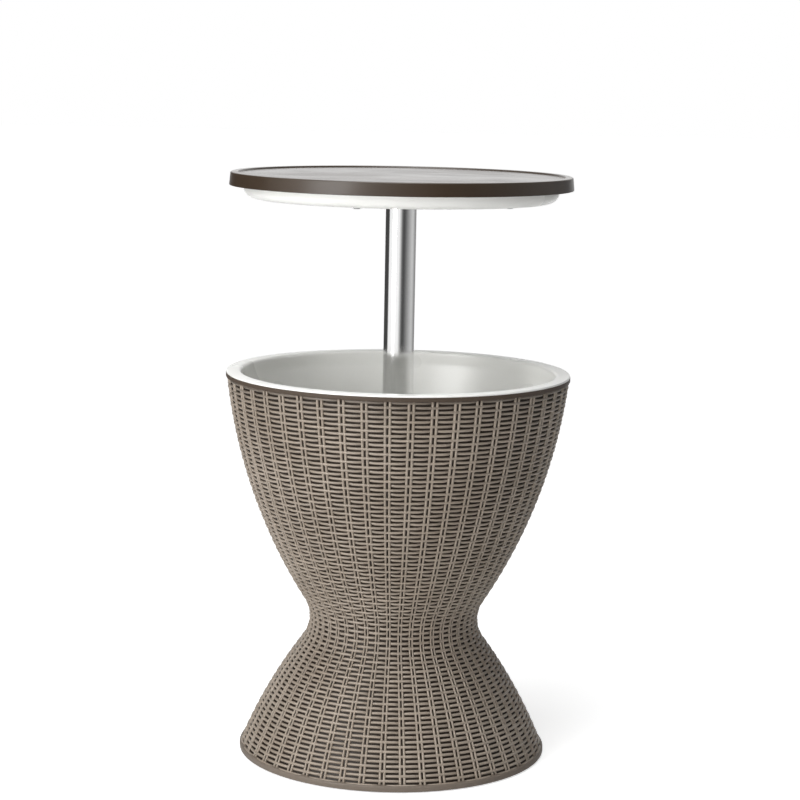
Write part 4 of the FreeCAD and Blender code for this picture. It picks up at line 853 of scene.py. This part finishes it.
class Tub(bpy.types.Operator):
    """Turn the white tub with its rim, snap skirt, chimney and sunk drain."""

    bl_idname = "cooler_table.tub"
    bl_label = "Tub"

    def execute(self, context):
        wall_top = MOUTH_RADIUS + TUB_WALL
        skirt_inside = SNAP_SKIRT_RADIUS - SNAP_SKIRT_WALL
        rim = RIM_RADIUS - RIM_SETBACK
        chimney = CHIMNEY_BORE + TUB_WALL
        profile = rounded_profile((
            (CHIMNEY_BORE, TUB_FLOOR - TUB_WALL),
            (TUB_FLOOR_RADIUS + TUB_WALL, TUB_FLOOR - TUB_WALL, TUB_BEND + TUB_WALL),
            (wall_top, MOUTH_BOTTOM, MOUTH_BEND),
            (wall_top, BODY_TOP),
            (skirt_inside, BODY_TOP),
            (skirt_inside, SNAP_SKIRT_BOTTOM),
            (SNAP_SKIRT_RADIUS, SNAP_SKIRT_BOTTOM, PLAIN_EDGE),
            (SNAP_SKIRT_RADIUS, BODY_TOP),
            (rim, BODY_TOP),
            (rim, RIM_TOP, context.scene.cooler_colours.rim_round),
            (MOUTH_RADIUS, RIM_TOP, MOUTH_EDGE),
            (MOUTH_RADIUS, MOUTH_BOTTOM, MOUTH_BEND),
            (TUB_FLOOR_RADIUS, TUB_FLOOR, TUB_BEND),
            (chimney + CHIMNEY_TAPER, TUB_FLOOR, CHIMNEY_FOOT),
            (chimney, CHIMNEY_TOP, CHIMNEY_EDGE),
            (CHIMNEY_BORE, CHIMNEY_TOP, CHIMNEY_EDGE),
        ), steps=8)
        profile = with_steps(profile, TUB_SPAN)
        points = turned_points(profile, TUB_STEPS)
        # The sump sinks the floor near the drain by a smooth step of its distance from the drain's centre
        distance = np.hypot(points[:, 0] - DRAIN_CENTRE[0], points[:, 1] - DRAIN_CENTRE[1])
        step = np.clip((SUMP_RADIUS + SUMP_SLOPE - distance) / (2.0 * SUMP_SLOPE), 0.0, 1.0)
        on_floor = np.abs(points[:, 2] - TUB_FLOOR) < 1e-5
        points[:, 2] -= np.where(on_floor, SUMP_DEPTH * step * step * (3.0 - 2.0 * step), 0.0)
        quads = grid_quads(len(profile), TUB_STEPS, True, True)
        tub = new_piece("tub_smooth", "stand", "white_resin", points, quads, sharp_angle=SHARP_ANGLE)
        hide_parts("tub")
        return {"FINISHED"}


class ColumnCollar(bpy.types.Operator):
    """Turn the bearing collar that caps the column."""

    bl_idname = "cooler_table.column_collar"
    bl_label = "Column collar"

    def execute(self, context):
        inside = CHIMNEY_BORE + TUB_WALL + COLLAR_GAP
        profile = rounded_profile((
            (COLLAR_BORE, CHIMNEY_TOP - COLLAR_SPIGOT),
            (LINER_RADIUS, CHIMNEY_TOP - COLLAR_SPIGOT),
            (LINER_RADIUS, CHIMNEY_TOP),
            (inside, CHIMNEY_TOP),
            (inside, CHIMNEY_TOP - COLLAR_SKIRT),
            (COLLAR_RADIUS, CHIMNEY_TOP - COLLAR_SKIRT, COLLAR_EDGE),
            (COLLAR_RADIUS, COLLAR_TOP, COLLAR_SHOULDER),
            (COLLAR_BORE, COLLAR_TOP, COLLAR_EDGE),
        ), steps=8)
        collar = turned_piece("collar_smooth", "stand", "white_resin", profile, COLLAR_STEPS)
        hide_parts("column_collar")
        return {"FINISHED"}


class Pole(bpy.types.Operator):
    """Turn the bright sliding pole."""

    bl_idname = "cooler_table.pole"
    bl_label = "Pole"

    def execute(self, context):
        inner = POLE_RADIUS - POLE_WALL
        corners = ((inner, POLE_BOTTOM), (POLE_RADIUS, POLE_BOTTOM), (POLE_RADIUS, POLE_TOP), (inner, POLE_TOP))
        profile = rounded_profile([corner + (POLE_EDGE,) for corner in corners], steps=2)
        profile = with_steps(profile, LONG_SPAN)
        pole = turned_piece("pole_smooth", "table", "bright_tube", profile, POLE_STEPS)
        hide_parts("pole_tube")
        return {"FINISHED"}


class LidPan(bpy.types.Operator):
    """Turn the white pan under the table top."""

    bl_idname = "cooler_table.lid_pan"
    bl_label = "Lid pan"

    def execute(self, context):
        bend = context.scene.cooler_colours.pan_round
        bore = POLE_RADIUS + PAN_POLE_GAP
        floor = PAN_BOTTOM + PAN_WALL
        under = DECK_UNDERSIDE - PAN_WALL
        top = DECK_UNDERSIDE - PAN_DECK_GAP
        profile = rounded_profile((
            (bore, PAN_BOTTOM, CRISP_EDGE),
            (PAN_CORNER_RADIUS, PAN_BOTTOM, bend),
            (PAN_TOP_RADIUS, under, SMOOTH_EDGE),
            (PAN_FLANGE_RADIUS, under, CRISP_EDGE),
            (PAN_FLANGE_RADIUS, top),
            (PAN_TOP_RADIUS - PAN_WALL, top),
            (PAN_CORNER_RADIUS - PAN_WALL, floor, bend - PAN_WALL),
            (PAN_PAD_RADIUS, floor, SMOOTH_EDGE),
            (PAN_PAD_RADIUS, PAN_PAD_TOP, CRISP_EDGE),
            (bore, PAN_PAD_TOP, CRISP_EDGE),
        ), steps=10)
        profile = with_steps(profile, LONG_SPAN)
        pan = turned_piece("pan_smooth", "table", "white_resin", profile)
        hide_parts("lid_pan")
        return {"FINISHED"}


class TableTop(bpy.types.Operator):
    """Turn the table top with its raised lip and skirt."""

    bl_idname = "cooler_table.table_top"
    bl_label = "Table top"

    def execute(self, context):
        inner = SKIRT_RADIUS - SKIRT_WALL
        profile = rounded_profile((
            (AXIS_GAP, DECK_UNDERSIDE),
            (inner - SKIRT_TAPER, DECK_UNDERSIDE, DECK_CORNER),
            (inner, SKIRT_BOTTOM, PLAIN_EDGE),
            (SKIRT_RADIUS, SKIRT_BOTTOM, PLAIN_EDGE),
            (LIP_OUTER_RADIUS, TABLE_TOP, context.scene.cooler_colours.lip_round),
            (DECK_RADIUS + LIP_SLOPE, TABLE_TOP, LIP_SLOPE),
            (DECK_RADIUS, DECK_TOP, PLAIN_EDGE),
            (AXIS_GAP, DECK_TOP),
        ), steps=8)
        top = turned_piece("top_smooth", "table", "brown_resin", profile, ring=False)
        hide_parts("table_top")
        return {"FINISHED"}


class FrameFinish(bpy.types.Operator):
    """Give every node that comes from the frame the finish of its slot."""

    bl_idname = "cooler_table.frame_finish"
    bl_label = "Frame finishes"

    def execute(self, context):
        slots = {row["node"]: row["material_slot"] for row in frame["record"]["subparts"]}
        for name, node in frame["nodes"].items():
            node.data.materials.clear()
            node.data.materials.append(slot_material(slots[name]))
        return {"FINISHED"}


# Stage

# Lamps: place, the point they look at, width and height
KEY_LAMP = ((-2.12, -2.1, 1.45), (0.0, 0.0, 0.55), 1.5, 2.4)
FRONT_LAMP = ((-0.67, -2.51, 0.5), (0.0, 0.0, 0.45), 1.6, 0.9)
TOP_LAMP = ((-0.3, -0.5, 2.8), (0.0, 0.0, 0.5), 1.6, 1.6)

# Cards that only reflections see: first and last turn in degrees, height, and (share of the way, brightness)
CARD_RADIUS = 2.4
CARD_STEPS = 24
LEFT_CARD = (-155.0, -90.0, 2.4, ((0.0, 0.06), (0.9, 0.06), (1.0, 0.5)))
RIGHT_CARD = (-10.0, 150.0, 5.0, (
    (0.0, 0.95), (0.063, 0.60), (0.1, 0.33), (0.144, 0.13), (0.213, 0.07), (0.288, 0.13), (0.388, 0.27),
    (0.494, 0.42), (0.613, 0.57), (0.70, 0.60), (0.80, 0.38), (0.963, 0.22), (1.0, 0.3)))

# Floor: its colour and half its width, and its glow for kinds of ray, which keeps a level as far as a distance and
# goes from there to the far level
FLOOR_COLOUR = (0.82, 0.82, 0.82, 1.0)
FLOOR_REACH = 30.0
FLOOR_GLOW = ((("Is Camera Ray", "Is Transmission Ray"), 0.66, 0.8), (("Is Glossy Ray",), 0.1, 1.5))
FAR_GLOW = 0.8
FAR_DISTANCE = 3.0

SENSOR_WIDTH = 36.0
CLIP_END = 200.0


def hide_from(thing, *rays):
    """Hide an object from the named kinds of ray."""
    for ray in rays:
        setattr(thing, "visible_" + ray, False)


def area_lamp(name, power, place, target, width, height):
    """Area lamp of a width and height that looks at a target."""
    data = bpy.data.lights.new(name, "AREA")
    data.shape = "RECTANGLE"
    data.size = width
    data.size_y = height
    data.energy = power
    lamp = new_object(name, data)
    lamp.location = place
    lamp.rotation_euler = (Vector(target) - Vector(place)).to_track_quat("-Z", "Y").to_euler()
    return lamp


def ray_share(tree, *labels):
    """One where the ray is of one of the named kinds, otherwise nothing."""
    rays = tree.nodes.new("ShaderNodeLightPath").outputs
    total = rays[labels[0]]
    for label in labels[1:]:
        total = computed(tree, "MAXIMUM", total, rays[label])
    return total


def white_surround(strength):
    """World that looks white and lights the object evenly at a set strength."""
    world = bpy.data.worlds.new("surround")
    bpy.context.scene.world = world
    world.use_nodes = True
    tree = world.node_tree
    background = tree.nodes["Background"]
    background.inputs["Color"].default_value = WHITE
    seen = ray_share(tree, "Is Camera Ray", "Is Glossy Ray", "Is Transmission Ray")
    tree.links.new(ranged(tree, seen, 0.0, 1.0, strength, 1.0), background.inputs["Strength"])


def floor_material():
    """Pale floor that shows white where nothing shades it and keeps the object's shadow. Its glow makes up for
    the lamps' falling light with distance, and reflections see less of it nearby."""
    material, tree, shader, place = new_material("studio_floor")
    values = {"Base Color": FLOOR_COLOUR, "Roughness": 0.9, "Specular IOR Level": 0.1, "Emission Color": WHITE}
    for label, value in values.items():
        shader.inputs[label].default_value = value
    distance = add_node(tree, "VectorMath", {0: place}, operation="LENGTH").outputs["Value"]
    shares = []
    for rays, level, start in FLOOR_GLOW:
        rising = ranged(tree, distance, start, FAR_DISTANCE, level, FAR_GLOW)
        shares.append(computed(tree, "MULTIPLY", ray_share(tree, *rays), rising))
    tree.links.new(computed(tree, "ADD", *shares), shader.inputs["Emission Strength"])
    return material


def card_material(name, levels):
    """Card whose brightness runs from one level to the next across it."""
    material = bpy.data.materials.new(name)
    material.use_nodes = True
    tree = material.node_tree
    tree.nodes.clear()
    coordinates = tree.nodes.new("ShaderNodeTexCoord")
    across = add_node(tree, "SeparateXYZ", {"Vector": coordinates.outputs["UV"]}).outputs["X"]
    ramp = add_node(tree, "ValToRGB", {"Fac": across})
    elements = ramp.color_ramp.elements
    for k, (position, level) in enumerate(levels):
        element = elements[k] if k < 2 else elements.new(position)
        element.position = position
        element.color = (level, level, level, 1.0)
    glow = add_node(tree, "Emission", {"Color": ramp.outputs["Color"]})
    add_node(tree, "OutputMaterial", {"Surface": glow.outputs["Emission"]})
    return material


def curved_card(name, start, end, height, levels):
    """Upright card on a circle round the object, (r sin t, -r cos t, z) from one turn t to another, that only
    reflections see."""
    turn = np.radians(np.linspace(start, end, CARD_STEPS + 1))
    x, y = CARD_RADIUS * np.sin(turn), -CARD_RADIUS * np.cos(turn)
    points = np.concatenate([np.stack([x, y, np.full(len(turn), z)], -1) for z in (0.0, height)])
    quads = grid_quads(2, len(turn), False, False)
    mesh = bpy.data.meshes.new(name)
    mesh.from_pydata(points.tolist(), [], quads.tolist())
    layer = mesh.uv_layers.new(name="UVMap")
    u = np.tile(np.linspace(0.0, 1.0, len(turn)), 2)
    v = np.repeat([0.0, 1.0], len(turn))
    corners = np.stack([u, v], -1)[quads.ravel()]
    layer.data.foreach_set("uv", corners.astype(np.float32).ravel())
    mesh.materials.append(card_material(name, levels))
    card = new_object(name, mesh)
    hide_from(card, "camera", "diffuse", "shadow", "transmission")


def studio_floor():
    """Wide square floor at z = 0."""
    mesh = bpy.data.meshes.new("floor")
    corners = [(x * FLOOR_REACH, y * FLOOR_REACH, 0.0) for x, y in ((-1, -1), (1, -1), (1, 1), (-1, 1))]
    mesh.from_pydata(corners, [], [(0, 1, 2, 3)])
    mesh.materials.append(floor_material())
    floor = new_object("floor", mesh)


def place_camera(settings):
    """Camera whose axes come from yaw, pitch and roll: forward is (sin y cos p, cos y cos p, -sin p)."""
    yaw, pitch, roll = settings.camera_yaw, settings.camera_pitch, settings.camera_roll
    right = Vector((math.cos(yaw), -math.sin(yaw), 0.0))
    forward = Vector((math.sin(yaw) * math.cos(pitch), math.cos(yaw) * math.cos(pitch), -math.sin(pitch)))
    up = right.cross(forward)
    side = math.cos(roll) * right + math.sin(roll) * up
    top = math.cos(roll) * up - math.sin(roll) * right
    data = bpy.data.cameras.new("camera")
    data.lens = settings.lens
    data.sensor_width = SENSOR_WIDTH
    data.clip_end = CLIP_END
    camera = new_object("camera", data)
    axes = Matrix((side, top, -forward)).transposed().to_4x4()
    place = Vector((0.0, -settings.camera_distance, settings.camera_height))
    camera.matrix_world = Matrix.Translation(place) @ axes
    bpy.context.scene.camera = camera


class Stage(bpy.types.Operator):
    """Set the floor, the surround, the lamps, the cards and the camera."""

    bl_idname = "cooler_table.stage"
    bl_label = "Stage"

    def execute(self, context):
        settings = context.scene.cooler_stage
        context.scene.view_settings.view_transform = "Standard"
        white_surround(settings.surround)
        studio_floor()
        area_lamp("key", settings.key_power, *KEY_LAMP)
        front = area_lamp("front", settings.front_power, *FRONT_LAMP)
        hide_from(front, "camera", "glossy", "transmission")
        area_lamp("top", settings.top_power, *TOP_LAMP)
        curved_card("left_flag", *LEFT_CARD)
        curved_card("right_flag", *RIGHT_CARD)
        place_camera(settings)
        return {"FINISHED"}


# Panel and registration

OPERATORS = (FrameFinish, BodyShells, WeaveStakes, WeaveRows, Tub, ColumnCollar, Pole, LidPan, TableTop, Stage)
SETTINGS = (("cooler_weave", WeaveSettings), ("cooler_colours", CoolerSettings), ("cooler_stage", StageSettings))


class CoolerTablePanel(bpy.types.Panel):
    """Sidebar panel of the cooler table."""

    bl_idname = "VIEW3D_PT_cooler_table"
    bl_label = "Cooler table"
    bl_space_type = "VIEW_3D"
    bl_region_type = "UI"
    bl_category = "Cooler table"

    def draw(self, context):
        for name, settings in SETTINGS:
            box = self.layout.box()
            group = getattr(context.scene, name)
            for label in settings.__annotations__:
                box.prop(group, label)
        for operator in OPERATORS:
            self.layout.operator(operator.bl_idname)


CLASSES = (*(settings for _, settings in SETTINGS), *OPERATORS, CoolerTablePanel)


def register():
    for cls in CLASSES:
        bpy.utils.register_class(cls)
    for name, settings in SETTINGS:
        setattr(bpy.types.Scene, name, PointerProperty(type=settings))


def unregister():
    for name, _ in SETTINGS:
        delattr(bpy.types.Scene, name)
    for cls in reversed(CLASSES):
        bpy.utils.unregister_class(cls)


def main():
    register()
    bpy.ops.cooler_table.frame_finish()
    bpy.ops.cooler_table.body_shells()
    bpy.ops.cooler_table.weave_stakes()
    bpy.ops.cooler_table.weave_rows()
    bpy.ops.cooler_table.tub()
    bpy.ops.cooler_table.column_collar()
    bpy.ops.cooler_table.pole()
    bpy.ops.cooler_table.lid_pan()
    bpy.ops.cooler_table.table_top()
    bpy.ops.cooler_table.stage()


if __name__ == "__main__":
    main()
